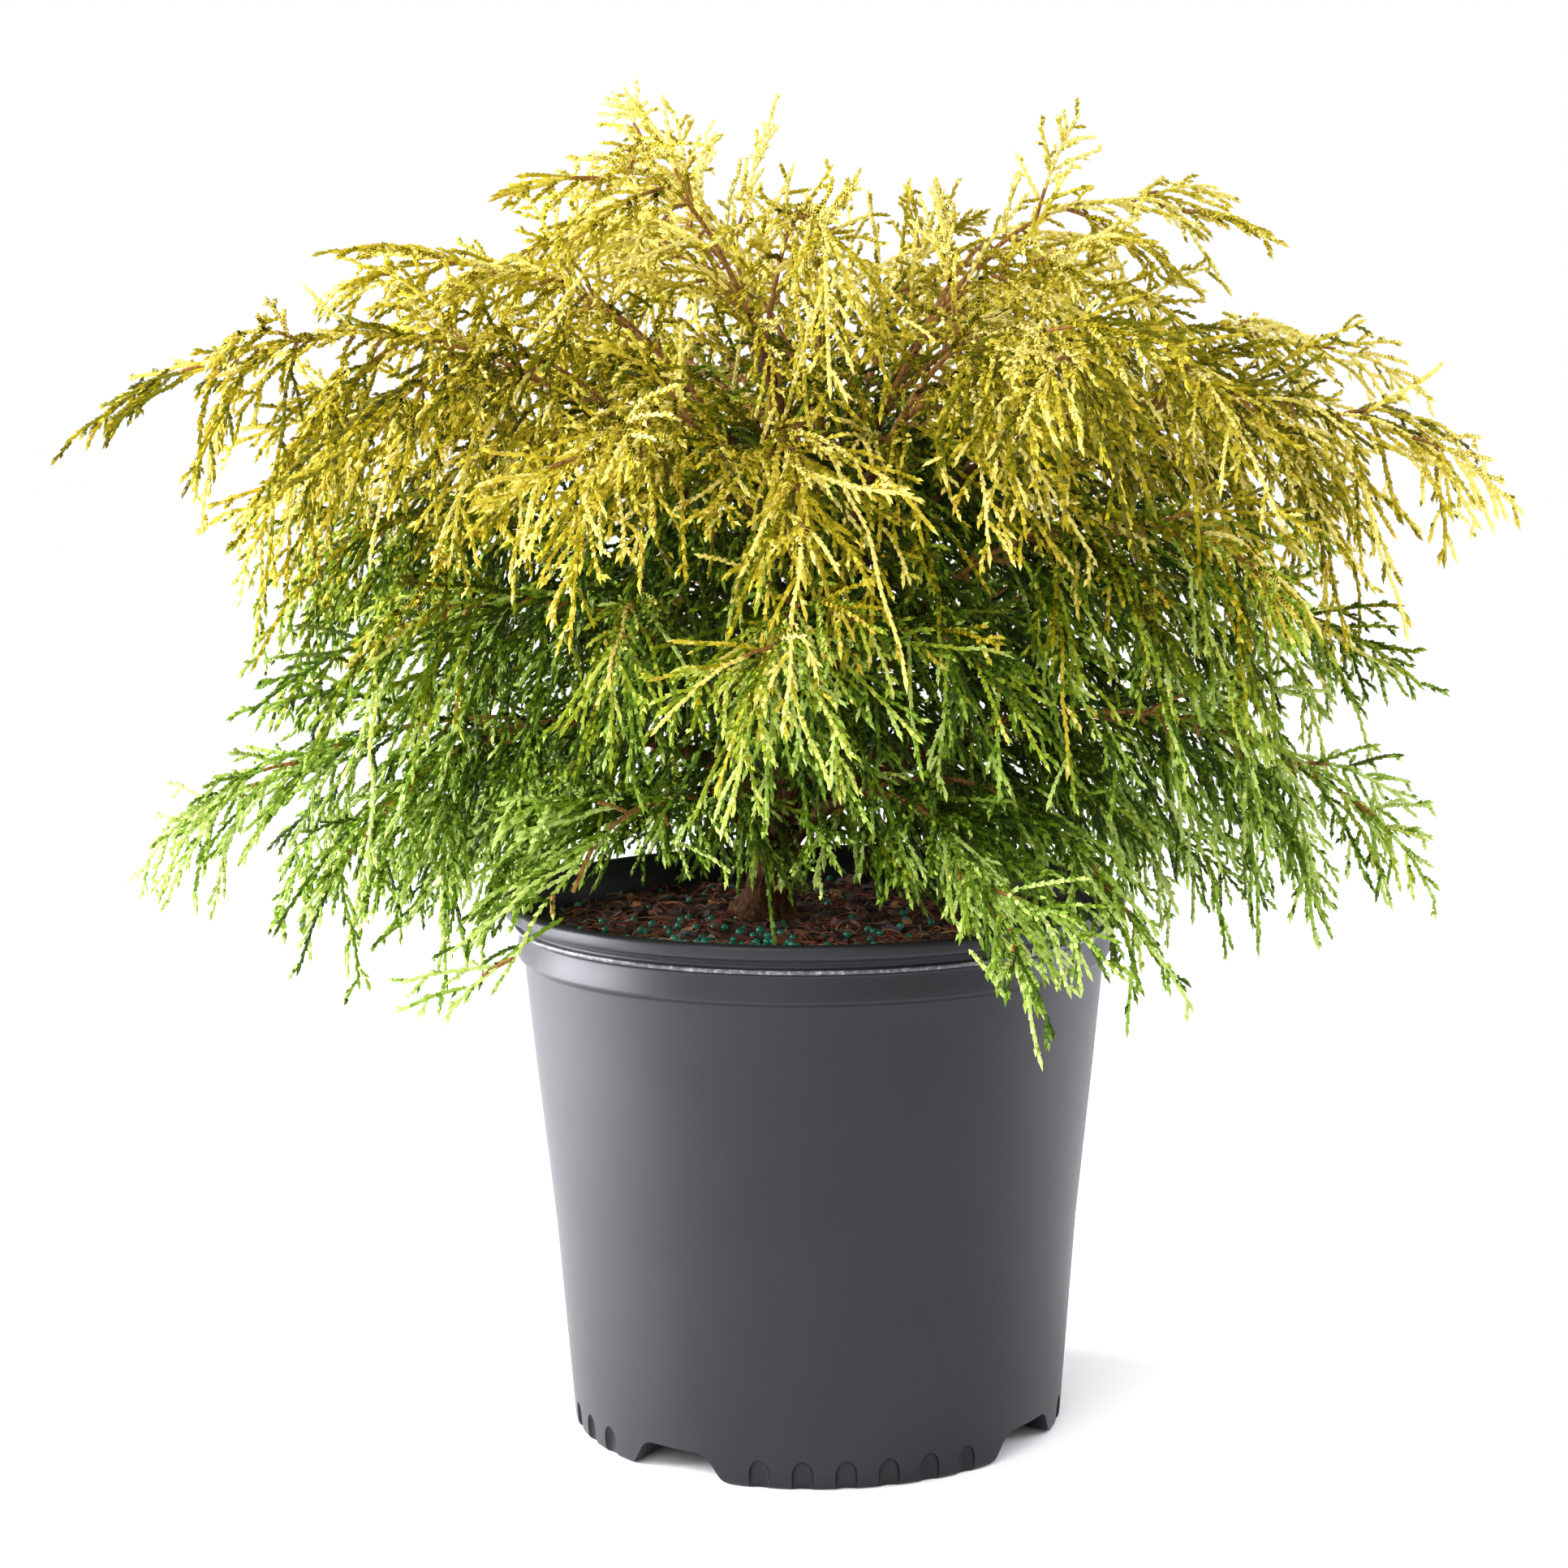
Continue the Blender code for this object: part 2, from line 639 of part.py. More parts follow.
def main():
    clear_scene()
    rng = random.Random(SEED)
    materials = {name: make_material(name, colour, 0.42 if name == "pot" else 0.8)
                 for name, colour in COLOURS.items()}
    build_pot(materials["pot"])
    build_soil(materials["soil"])
    trunk = build_trunk(materials["bark"])
    trunk_tree = BVHTree.FromPolygons([vertex.co for vertex in trunk.data.vertices],
                                      [face.vertices for face in trunk.data.polygons])
    limbs = plan_limbs(rng)
    woods = [([Vector(point) for point in TRUNK_PATH], max(TRUNK_RADII[1:]))]
    stems = {}
    for limb in limbs:
        sides = BOUGH_SIDES if limb["bough"] else STEM_SIDES
        seat_on_trunk(limb, trunk_tree, sides, BOUGH_RINGS)
        name = "{tier}_foliage_{number}".format(**limb)
        if limb["bough"]:
            build_bough(limb, materials["bark"])
            path = limb_path(limb, 0.0, limb["bough"], BOUGH_RINGS)
            woods.append((path, limb["radius"]))
        stem = limb_path(limb, limb["bough"], 1.0, STEM_RINGS + 1)
        if limb["bough"]:
            stem[0] = stem[0] + GAP * (stem[1] - stem[0]).normalized()
        stems[name] = stem
    for limb in limbs:
        name = "{tier}_foliage_{number}".format(**limb)
        sprays = plan_sprays(limb, name, stems, woods, rng)
        build_mass(name, stems[name], sprays, materials[limb["tier"]])


main()
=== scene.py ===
import math
import random

import bmesh
import bpy
import numpy as np
from mathutils import Matrix, Vector, noise
from mathutils.bvhtree import BVHTree


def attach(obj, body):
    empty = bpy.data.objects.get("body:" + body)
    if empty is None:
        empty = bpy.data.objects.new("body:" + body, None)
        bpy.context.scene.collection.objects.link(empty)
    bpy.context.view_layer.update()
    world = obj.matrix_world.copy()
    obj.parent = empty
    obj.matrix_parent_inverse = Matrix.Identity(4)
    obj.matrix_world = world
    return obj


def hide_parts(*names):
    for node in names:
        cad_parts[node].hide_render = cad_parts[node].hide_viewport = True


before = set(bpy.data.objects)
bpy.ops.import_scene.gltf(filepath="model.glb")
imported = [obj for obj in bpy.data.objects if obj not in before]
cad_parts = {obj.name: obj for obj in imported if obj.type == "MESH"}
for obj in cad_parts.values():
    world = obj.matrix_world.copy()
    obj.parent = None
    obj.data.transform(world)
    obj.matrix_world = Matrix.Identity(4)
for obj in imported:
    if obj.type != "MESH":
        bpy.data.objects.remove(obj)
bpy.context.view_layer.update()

mm = 0.001


# Shared helpers

def hexToLinear(colour):
    channels = [int(colour[place:place + 2], 16) / 255.0 for place in (1, 3, 5)]
    return tuple(c / 12.92 if c <= 0.04045 else ((c + 0.055) / 1.055) ** 2.4 for c in channels) + (1.0,)


def addNode(tree, kind, settings=None, links=None):
    # Settings go to the node's own properties, or else to its sockets
    node = tree.nodes.new(kind)
    for key, value in (settings or {}).items():
        if isinstance(key, str) and hasattr(node, key):
            setattr(node, key, value)
        else:
            node.inputs[key].default_value = value
    for key, source in (links or {}).items():
        tree.links.new(source, node.inputs[key])
    return node


def newFinish(name, colour, roughness, ior=1.5, specular=0.5):
    material = bpy.data.materials.new(name)
    material.use_nodes = True
    shader = material.node_tree.nodes["Principled BSDF"]
    shader.inputs["Base Color"].default_value = hexToLinear(colour)
    shader.inputs["Roughness"].default_value = roughness
    shader.inputs["IOR"].default_value = ior
    shader.inputs["Specular IOR Level"].default_value = specular
    material.diffuse_color = hexToLinear(colour)
    return material, material.node_tree, shader


def mottledFinish(name, stops, size, roughness, noiseSettings=None, stretch=None, plain=None, relief=None,
                  **levels):
    # The colour runs through the stops by a noise whose marks are that many millimetres across, and with
    # a relief, which is a strength and a height, they stand up too
    material, tree, shader = newFinish(name, plain or stops[0][1], roughness, **levels)
    place = addNode(tree, "ShaderNodeTexCoord").outputs["Object"]
    if stretch:
        place = addNode(tree, "ShaderNodeMapping", {"Scale": stretch}, {"Vector": place}).outputs["Vector"]
    marks = addNode(tree, "ShaderNodeTexNoise", {"Scale": 1.0 / (size * mm), **(noiseSettings or {})},
                    {"Vector": place}).outputs["Fac"]
    ramp = addNode(tree, "ShaderNodeValToRGB", {}, {"Fac": marks})
    elements = ramp.color_ramp.elements
    while len(elements) < len(stops):
        elements.new(0.5)
    for element, (position, colour) in zip(elements, stops):
        element.position = position
        element.color = hexToLinear(colour)
    tree.links.new(ramp.outputs["Color"], shader.inputs["Base Color"])
    if relief:
        strength, height = relief
        bump = addNode(tree, "ShaderNodeBump", {"Strength": strength, "Distance": height * mm},
                       {"Height": marks})
        tree.links.new(bump.outputs["Normal"], shader.inputs["Normal"])
    return material, tree, shader, marks


def evenSteps(first, last, count):
    return [first + (last - first) * index / (count - 1) for index in range(count)]


def curveAt(start, bend, end, share):
    return (1.0 - share) ** 2 * start + 2.0 * share * (1.0 - share) * bend + share ** 2 * end


def jitter(rng, amount):
    return rng.uniform(-1.0, 1.0) * amount


def ringFaces(rings, sides, first=0):
    # Four-cornered faces from each ring of corners to the next
    faces = []
    for ring in range(rings - 1):
        low = first + ring * sides
        for side in range(sides):
            after = (side + 1) % sides
            faces.append((low + side, low + after, low + sides + after, low + sides + side))
    return faces


def capFaces(centre, first, sides):
    return [(centre, first + side, first + (side + 1) % sides) for side in range(sides)]


def spun(points, angle):
    turn = Matrix.Rotation(math.radians(angle), 3, "Z")
    return [tuple(turn @ Vector(point)) for point in points]


def meshFromArrays(name, points, faces, finishes=None, smooth=False):
    # Points in millimetres; every face has the same number of corners
    points, faces = np.asarray(points, np.float32), np.asarray(faces, np.int32)
    mesh = bpy.data.meshes.new(name)
    mesh.vertices.add(len(points))
    mesh.vertices.foreach_set("co", (points * mm).ravel())
    mesh.loops.add(faces.size)
    mesh.loops.foreach_set("vertex_index", faces.ravel())
    mesh.polygons.add(len(faces))
    mesh.polygons.foreach_set("loop_start", np.arange(0, faces.size, faces.shape[1], dtype=np.int32))
    if finishes is not None:
        mesh.polygons.foreach_set("material_index", np.asarray(finishes, np.int32))
    mesh.update(calc_edges=True)
    if smooth:
        mesh.shade_smooth()
    else:
        mesh.shade_flat()
    return mesh


def placePiece(name, mesh, materials, nodes=()):
    piece = bpy.data.objects.new(name, mesh)
    bpy.context.scene.collection.objects.link(piece)
    for material in materials:
        mesh.materials.append(material)
    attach(piece, "root")
    if nodes:
        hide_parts(*nodes)
    return piece


# Camera, light and floor

studio = dict(
    cameraAt=(0.0, -1400.0, 472.3), pitch=7.44, yaw=-0.52, roll=-0.56, lens=72.13, sensor=36.0,
    backdrop=1.0, horizonLight=0.22, zenithLight=1.46, frontLight=0.36, frontNarrow=5.0,
    floorRadius=40000.0, floorSides=96, paperMottle=400.0, aimHeight=300.0,
    # place, size, watts and tint of each softbox
    softboxes=dict(
        key=((-650.0, -1600.0, 1250.0), 1200.0, 25.0, "#FFFFFF"),
        left=((-1500.0, 140.0, 420.0), 1200.0, 134.0, "#F6F7FF"),
        right=((1500.0, 300.0, 420.0), 800.0, 23.0, "#EEF1FF"),
    ),
)


def setCamera():
    camera = bpy.data.objects.new("camera", bpy.data.cameras.new("camera"))
    bpy.context.scene.collection.objects.link(camera)
    pitch, yaw, roll = (math.radians(studio[key]) for key in ("pitch", "yaw", "roll"))
    right = Vector((math.cos(yaw), -math.sin(yaw), 0.0))
    level = Vector((math.sin(yaw), math.cos(yaw), 0.0))
    forward = level * math.cos(pitch) - Vector((0.0, 0.0, math.sin(pitch)))
    above = right.cross(forward)
    tiltedRight = right * math.cos(roll) + above * math.sin(roll)
    tiltedUp = above * math.cos(roll) - right * math.sin(roll)
    turn = Matrix((tiltedRight, tiltedUp, -forward)).transposed()
    camera.matrix_world = Matrix.Translation(Vector(studio["cameraAt"]) * mm) @ turn.to_4x4()
    camera.data.sensor_width = studio["sensor"]
    camera.data.lens = studio["lens"]
    camera.data.clip_end = 100.0
    bpy.context.scene.camera = camera


def hangSoftbox(name, place, size, power, tint):
    light = bpy.data.objects.new(name, bpy.data.lights.new(name, "AREA"))
    bpy.context.scene.collection.objects.link(light)
    light.data.size = size * mm
    light.data.energy = power
    light.data.color = hexToLinear(tint)[:3]
    light.location = Vector(place) * mm
    aim = Vector((0.0, 0.0, studio["aimHeight"] * mm)) - light.location
    light.rotation_euler = aim.to_track_quat("-Z", "Y").to_euler()


def lightTent():
    # White to look at; as light it is a soft tent, brightest overhead and behind the camera
    world = bpy.data.worlds.new("whiteStudio")
    bpy.context.scene.world = world
    world.use_nodes = True
    tree = world.node_tree
    background = tree.nodes["Background"]
    background.inputs["Color"].default_value = (1.0, 1.0, 1.0, 1.0)
    coords = addNode(tree, "ShaderNodeTexCoord")
    axes = addNode(tree, "ShaderNodeSeparateXYZ", {}, {"Vector": coords.outputs["Generated"]})
    overhead = addNode(tree, "ShaderNodeMapRange", {
        "To Min": studio["horizonLight"], "To Max": studio["zenithLight"]}, {"Value": axes.outputs["Z"]})
    facing = addNode(tree, "ShaderNodeMath", {"operation": "MULTIPLY", "use_clamp": True, 1: -1.0}, {
        0: axes.outputs["Y"]})
    narrow = addNode(tree, "ShaderNodeMath", {"operation": "POWER", 1: studio["frontNarrow"]}, {
        0: facing.outputs["Value"]})
    tent = addNode(tree, "ShaderNodeMath", {"operation": "MULTIPLY_ADD", 1: studio["frontLight"]}, {
        0: narrow.outputs["Value"], 2: overhead.outputs["Result"]})
    seen = addNode(tree, "ShaderNodeLightPath")
    strength = addNode(tree, "ShaderNodeMix", {"data_type": "FLOAT", 3: studio["backdrop"]}, {
        0: seen.outputs["Is Camera Ray"], 2: tent.outputs["Value"]})
    tree.links.new(strength.outputs[0], background.inputs["Strength"])
    bpy.context.scene.view_settings.view_transform = "Standard"


def mattStudioPaper():
    # Matt studio paper: even and pale, with a faint mottle
    stops = ((0.3, "#FAF9F8"), (0.7, "#FEFDFC"))
    return mottledFinish("mattStudioPaper", stops, studio["paperMottle"], 0.9)[0]


def layFloor():
    angles = np.linspace(0.0, 2.0 * math.pi, studio["floorSides"], endpoint=False)
    rim = np.stack([np.cos(angles), np.sin(angles), 0.0 * angles], 1) * studio["floorRadius"]
    floorMesh = meshFromArrays("floor", rim, [list(range(len(rim)))])
    floorMesh.materials.append(mattStudioPaper())
    floor = bpy.data.objects.new("floor", floorMesh)
    bpy.context.scene.collection.objects.link(floor)


def buildStudio():
    lightTent()
    setCamera()
    for name, (place, size, power, tint) in studio["softboxes"].items():
        hangSoftbox(name + "Softbox", place, size, power, tint)
    layFloor()
    print("studio: camera, softboxes and floor")


# Pot

pot = dict(
    sides=192, height=241.0, lipRadius=140.0, wall=2.0, floorUnder=13.0, floorTop=15.2,
    footRadius=112.0, footInside=97.0, cornerRadius=1.1, cornerSteps=4, cornerMost=0.42,
    feet=4, footTurn=-79.0, notchTop=32.0, notchFoot=46.0, notchRound=4.5, toeFlare=6.0,
    notchInside=14.0, notchOutside=12.0, cutterUnder=-4.0, cutterBeyond=0.4,
    flutes=6, flutePitch=9.6, fluteWidth=9.6, fluteStraight=6.0, fluteHeight=13.0, fluteDepth=3.6,
    fluteSides=24, fluteRings=8, fluteWide=0.8, fluteDeep=0.7,
    ribFrom=227.9, ribTo=229.7, ribInside=134.1, sharpAngle=32.0,
)
# Radius and height of each corner of the section, and the corner's own rounding where it differs
pot["outside"] = (
    (pot["footRadius"] - 0.8, 0.0, 2.8), (pot["footRadius"] + 0.8, 22.0), (118.4, 94.0), (126.0, 166.0),
    (130.6, 213.4, 0.7), (133.5, 215.6, 0.9), (133.0, 221.0), (132.4, 226.8, 0.7), (134.7, 228.2, 0.4),
    (134.9, 229.4, 0.4), (133.4, 231.0, 0.8), (135.4, 233.4, 0.8),
    (pot["lipRadius"], 235.2), (pot["lipRadius"], 239.6), (pot["lipRadius"] - 1.4, pot["height"]),
    (pot["lipRadius"] - 3.6, pot["height"]),
)
pot["inside"] = (
    (131.8, 231.0), (130.6 - pot["wall"], 213.5), (126.0 - pot["wall"], 166.0), (118.4 - pot["wall"], 94.0),
    (pot["footRadius"] - pot["wall"], pot["floorTop"]),
)


def roundedProfile(profile, radius):
    # Each corner of the section becomes a short arc
    shares = evenSteps(0.0, 1.0, pot["cornerSteps"] + 1)
    rounded = [Vector(profile[0][:2])]
    for before, corner, after in zip(profile, profile[1:], profile[2:]):
        own = corner[2] if len(corner) > 2 else radius
        before, corner, after = Vector(before[:2]), Vector(corner[:2]), Vector(after[:2])
        inward, outward = before - corner, after - corner
        cut = min(own, pot["cornerMost"] * inward.length, pot["cornerMost"] * outward.length)
        first, last = corner + inward.normalized() * cut, corner + outward.normalized() * cut
        rounded += [curveAt(first, corner, last, share) for share in shares]
    rounded.append(Vector(profile[-1][:2]))
    return rounded


def turnedShape(profile, sides, bottom, top):
    # Turns a section about Z and closes it on the axis at heights bottom and top
    angles = np.linspace(0.0, 2.0 * math.pi, sides, endpoint=False)
    points = [(r * math.cos(a), r * math.sin(a), z) for r, z in profile for a in angles]
    centre = len(points)
    points += [(0.0, 0.0, bottom), (0.0, 0.0, top)]
    faces = ringFaces(len(profile), sides)
    faces += capFaces(centre, 0, sides) + capFaces(centre + 1, centre - sides, sides)
    return points, faces


def joinShapes(shapes):
    points, faces = [], []
    for shapePoints, shapeFaces in shapes:
        start = len(points)
        points += shapePoints
        faces += [tuple(start + corner for corner in face) for face in shapeFaces]
    return points, faces


def solidMesh(name, points, faces):
    mesh = bpy.data.meshes.new(name)
    mesh.from_pydata([tuple(mm * value for value in point) for point in points], [], faces)
    work = bmesh.new()
    work.from_mesh(mesh)
    bmesh.ops.recalc_face_normals(work, faces=work.faces)
    work.to_mesh(mesh)
    work.free()
    return mesh


def notchCutter(angle):
    # The wide gap between two feet, with rounded shoulders and a flare at the ground
    beyond, topHalf, footHalf = pot["cutterBeyond"], pot["notchTop"] / 2.0, pot["notchFoot"] / 2.0
    half = ((footHalf + pot["toeFlare"], pot["cutterUnder"]), (footHalf + pot["toeFlare"], -beyond, 1.0),
            (footHalf + beyond, 1.6), (topHalf, pot["floorUnder"]))
    outline = half + tuple((-corner[0], *corner[1:]) for corner in reversed(half))
    outline = roundedProfile(outline, pot["notchRound"])
    count = len(outline)
    inner, outer = pot["footInside"] - pot["notchInside"], pot["footRadius"] + pot["notchOutside"]
    points = [(reach, across, z) for reach in (inner, outer) for across, z in outline]
    faces = [tuple(range(count)), tuple(range(2 * count - 1, count - 1, -1))]
    return spun(points, angle), faces + ringFaces(2, count)


def fluteCutter(angle):
    # An upright channel with a domed top, sunk into the foot's outside
    sides, rings, radius = pot["fluteSides"], pot["fluteRings"], pot["footRadius"] + pot["cutterBeyond"]
    straight, height = pot["fluteStraight"], pot["fluteHeight"]
    levels = [(pot["cutterUnder"], 1.0), (straight, 1.0)]
    for ring in range(1, rings):
        rise = 0.5 * math.pi * ring / rings
        levels.append((straight + (height - straight) * math.sin(rise), math.cos(rise)))
    points = []
    for z, wide in levels:
        for side in range(sides):
            around = 2.0 * math.pi * side / sides
            across = wide * math.copysign(abs(math.sin(around)) ** pot["fluteWide"], math.sin(around))
            deep = wide * math.copysign(abs(math.cos(around)) ** pot["fluteDeep"], math.cos(around))
            points.append((radius + pot["fluteDepth"] * deep, pot["fluteWidth"] / 2.0 * across, z))
    faces = [tuple(reversed(range(sides)))] + ringFaces(len(levels), sides)
    faces += capFaces(len(points), len(points) - sides, sides)
    points.append((radius, 0.0, height))
    return spun(points, angle), faces


def mouldedPolypropylene():
    # Injection-moulded polypropylene, satin from the mould: a soft wide shine, with faint flow marks
    stops = ((0.25, "#131116"), (0.75, "#1A181E"))
    flowMarks = {"Detail": 4.0, "Roughness": 0.55}
    material, tree, shader, flow = mottledFinish("mouldedPolypropylene", stops, 55.0, 0.44, flowMarks,
                                                 plain="#201E24", ior=1.49, specular=0.31)
    shine = addNode(tree, "ShaderNodeMapRange", {"To Min": 0.40, "To Max": 0.48}, {"Value": flow})
    tree.links.new(shine.outputs["Result"], shader.inputs["Roughness"])
    # The mould's grain is about 0.3 mm; drawn at 1.2 mm, which is as fine as shows
    coords = addNode(tree, "ShaderNodeTexCoord")
    grain = addNode(tree, "ShaderNodeTexNoise", {"Scale": 1.0 / (1.2 * mm), "Detail": 2.0},
                    {"Vector": coords.outputs["Object"]})
    bump = addNode(tree, "ShaderNodeBump", {"Strength": 0.12, "Distance": 0.06 * mm},
                   {"Height": grain.outputs["Fac"]})
    tree.links.new(bump.outputs["Normal"], shader.inputs["Normal"])
    return material


def scuffedPolypropyleneWithPaintedGlint():
    # The rib under the lip is where pots rub in a stack: the same plastic, paler, partly scuffs and partly a
    # painted glint along the rib's edge
    stops = ((0.38, "#242228"), (0.54, "#504E54"), (0.70, "#A6A4A9"))
    scuffsAndGlint = {"Detail": 5.0, "Roughness": 0.7}
    return mottledFinish("scuffedPolypropyleneWithPaintedGlint", stops, 3.0, 0.34, scuffsAndGlint, plain="#6B696E", ior=1.49)[0]


def cutFeet(piece):
    # Takes the notches and the flutes out of the foot ring
    cutters = []
    for foot in range(pot["feet"]):
        middle = pot["footTurn"] + 360.0 / pot["feet"] * foot
        cutters.append(notchCutter(middle + 180.0 / pot["feet"]))
        for flute in range(pot["flutes"]):
            cutters.append(fluteCutter(middle + pot["flutePitch"] * (flute - (pot["flutes"] - 1) / 2.0)))
    cutter = bpy.data.objects.new("footCutter", solidMesh("footCutter", *joinShapes(cutters)))
    bpy.context.scene.collection.objects.link(cutter)
    carve = piece.modifiers.new("carve", "BOOLEAN")
    carve.operation, carve.solver, carve.object = "DIFFERENCE", "EXACT", cutter
    bpy.context.view_layer.update()
    carved = bpy.data.meshes.new_from_object(piece.evaluated_get(bpy.context.evaluated_depsgraph_get()))
    piece.modifiers.clear()
    uncut, piece.data = piece.data, carved
    bpy.data.objects.remove(cutter, do_unlink=True)
    bpy.data.meshes.remove(uncut)


def buildPot():
    underside = ((pot["footInside"] - 1.0, pot["floorUnder"]), (pot["footInside"], 0.0))
    profile = roundedProfile(underside + pot["outside"] + pot["inside"], pot["cornerRadius"])
    turned = turnedShape(profile, pot["sides"], pot["floorUnder"], pot["floorTop"])
    piece = placePiece("nurseryPot", solidMesh("nurseryPot", *turned),
                       [mouldedPolypropylene(), scuffedPolypropyleneWithPaintedGlint()], ["pot"])
    cutFeet(piece)
    # The rib's faces take the paler finish: scuffs and a painted glint
    for face in piece.data.polygons:
        x, y, z = face.center / mm
        face.material_index = int(pot["ribFrom"] < z < pot["ribTo"] and math.hypot(x, y) > pot["ribInside"])
    piece.data.shade_smooth()
    piece.data.set_sharp_from_angle(angle=math.radians(pot["sharpAngle"]))
    print("pot:", len(piece.data.polygons), "faces")


def insideRadius(height):
    outline = sorted((corner[1], corner[0]) for corner in pot["inside"])
    for (low, lowRadius), (high, highRadius) in zip(outline, outline[1:]):
        if low <= height <= high:
            return lowRadius + (height - low) / (high - low) * (highRadius - lowRadius)
    return outline[-1][1]


# Potting mix

# A chip's slope and a fibre's curl and sway are in radians
mix = dict(
    seed=7, top=227.0, topUnder=1.6, edgeTop=225.0, levelRadius=60.0, gap=0.36, sides=168, ringStep=2.4,
    lumpSize=26.0, lumpHeight=2.6, crumbSize=5.5, crumbHeight=1.5, roundTrunk=15.0,
    chips=1150, chipLength=(3.5, 13.0), chipSmall=2.2, chipWidth=(0.35, 0.8), chipThick=(0.9, 2.6),
    chipSlope=0.38, chipLift=1.6, chipTones=(40, 26, 18, 5, 11),
    fibres=620, fibreLength=(10.0, 34.0), fibreRadius=(0.28, 0.5), fibreSteps=7, fibreArch=(0.3, 3.2),
    fibreCurl=1.1, fibreSway=0.18, fibreTones=(5, 3, 2),
    beads=340, beadRadius=(1.45, 1.9), beadCluster=(-62.0, -72.0), beadSpread=46.0, beadTones=(3, 1),
)


def soilHeight(x, y):
    radius = math.hypot(x, y)
    share = max(0.0, (radius - mix["levelRadius"]) / (insideRadius(mix["top"]) - mix["levelRadius"]))
    level = mix["top"] - mix["topUnder"] - share * (mix["top"] - mix["edgeTop"])
    lump = noise.noise(Vector((x, y, 3.0)) / mix["lumpSize"]) * mix["lumpHeight"]
    crumb = noise.noise(Vector((x, y, 9.0)) / mix["crumbSize"]) * mix["crumbHeight"]
    fine = noise.noise(Vector((x, y, 5.0)) / (0.4 * mix["crumbSize"])) * 0.5 * mix["crumbHeight"]
    return level + lump + crumb + fine


def speckled(name, stops, size, roughness, relief):
    # Broken bark, peat and rot: fine specks that stand up by the relief in millimetres
    fine = {"Detail": 5.0, "Roughness": 0.65}
    return mottledFinish(name, stops, size, roughness, fine, relief=(0.6, relief))[0]


def buildSoil():
    # Surface rings out to the wall, then down the inside of the pot and closed at its floor
    sides, floor = mix["sides"], pot["floorTop"] + 0.3
    wallRadius = insideRadius(mix["edgeTop"]) - mix["gap"]
    rings = int(wallRadius / mix["ringStep"])
    angles = np.linspace(0.0, 2.0 * math.pi, sides, endpoint=False)
    points = [(0.0, 0.0, soilHeight(0.0, 0.0))]
    for ring in range(1, rings + 1):
        radius = wallRadius * ring / rings
        spots = [(radius * math.cos(a), radius * math.sin(a)) for a in angles]
        points += [(x, y, soilHeight(x, y)) for x, y in spots]
    belowTop = [height for _, height in pot["inside"][1:-1]] + [floor]
    for height in belowTop:
        radius = insideRadius(height) - mix["gap"]
        points += [(radius * math.cos(a), radius * math.sin(a), height) for a in angles]
    faces = capFaces(0, 1, sides) + ringFaces(rings + len(belowTop), sides, 1)
    faces += capFaces(len(points), len(points) - sides, sides)
    points.append((0.0, 0.0, floor))
    mesh = solidMesh("pottingMix", points, faces)
    mesh.shade_smooth()
    # Damp composted bark and peat: near black, with rusty crumbs
    stops = ((0.3, "#1E1712"), (0.5, "#3B2B21"), (0.64, "#60402E"), (0.78, "#86583E"))
    placePiece("pottingMix", mesh, [speckled("compostedBark", stops, 3.2, 0.86, 0.9)], ["soil"])


def spotOnSoil(rng, margin):
    reach = insideRadius(mix["top"]) - margin
    trunkX, trunkY = trunk["path"][0][:2]
    while True:
        x, y = rng.uniform(-reach, reach), rng.uniform(-reach, reach)
        if math.hypot(x, y) < reach and math.hypot(x - trunkX, y - trunkY) > mix["roundTrunk"]:
            return x, y


def buildChips(rng):
    points, faces, finishes = [], [], []
    # A chip's six corners, as shares of its half length and half width
    outline = ((1.0, 0.1), (0.5, 0.8), (-0.35, 0.9), (-1.0, 0.2), (-0.6, -0.75), (0.45, -0.85))
    count = len(outline)
    shortest, longest = mix["chipLength"]
    for _ in range(mix["chips"]):
        x, y = spotOnSoil(rng, 5.0)
        length = shortest + (longest - shortest) * rng.random() ** mix["chipSmall"]
        width, thick = length * rng.uniform(*mix["chipWidth"]), rng.uniform(*mix["chipThick"])
        turn = Matrix.Rotation(rng.uniform(0.0, 2.0 * math.pi), 3, "Z")
        turn = turn @ Matrix.Rotation(rng.gauss(0.0, mix["chipSlope"]), 3, "X")
        turn = turn @ Matrix.Rotation(rng.gauss(0.0, mix["chipSlope"]), 3, "Y")
        centre = Vector((x, y, soilHeight(x, y) + rng.uniform(0.0, mix["chipLift"])))
        start = len(points)
        for level, shrink in ((-0.5, 0.82), (0.5, 1.0)):
            for across, deep in outline:
                worn = rng.uniform(0.78, 1.12) * shrink
                local = Vector((across * worn * length / 2.0, deep * worn * width / 2.0,
                                level * thick * rng.uniform(0.6, 1.3)))
                points.append(centre + turn @ local)
        faces += ringFaces(2, count, start)
        faces.append(tuple(start + side for side in reversed(range(count))))
        faces.append(tuple(start + count + side for side in range(count)))
        finishes += [rng.choices(range(5), weights=mix["chipTones"])[0]] * (count + 2)
    mesh = solidMesh("barkChips", points, faces)
    mesh.polygons.foreach_set("material_index", np.asarray(finishes, np.int32))
    mesh.shade_flat()
    # Pine bark chips, broken and composted: dark, rusty, a few tan or ashy
    woods = [speckled(name, stops, 1.6, 0.8, 0.25) for name, stops in (
        ("pineBarkUmber", ((0.35, "#241814"), (0.7, "#4A3226"))),
        ("pineBarkRust", ((0.35, "#4A261A"), (0.7, "#84442A"))),
        ("pineBarkBrown", ((0.35, "#583C2E"), (0.7, "#8E6548"))),
        ("pineBarkTan", ((0.35, "#9A6C3E"), (0.7, "#C99A5E"))),
        ("pineBarkAsh", ((0.35, "#3A3738"), (0.7, "#6A6668"))),
    )]
    placePiece("barkChips", mesh, woods)


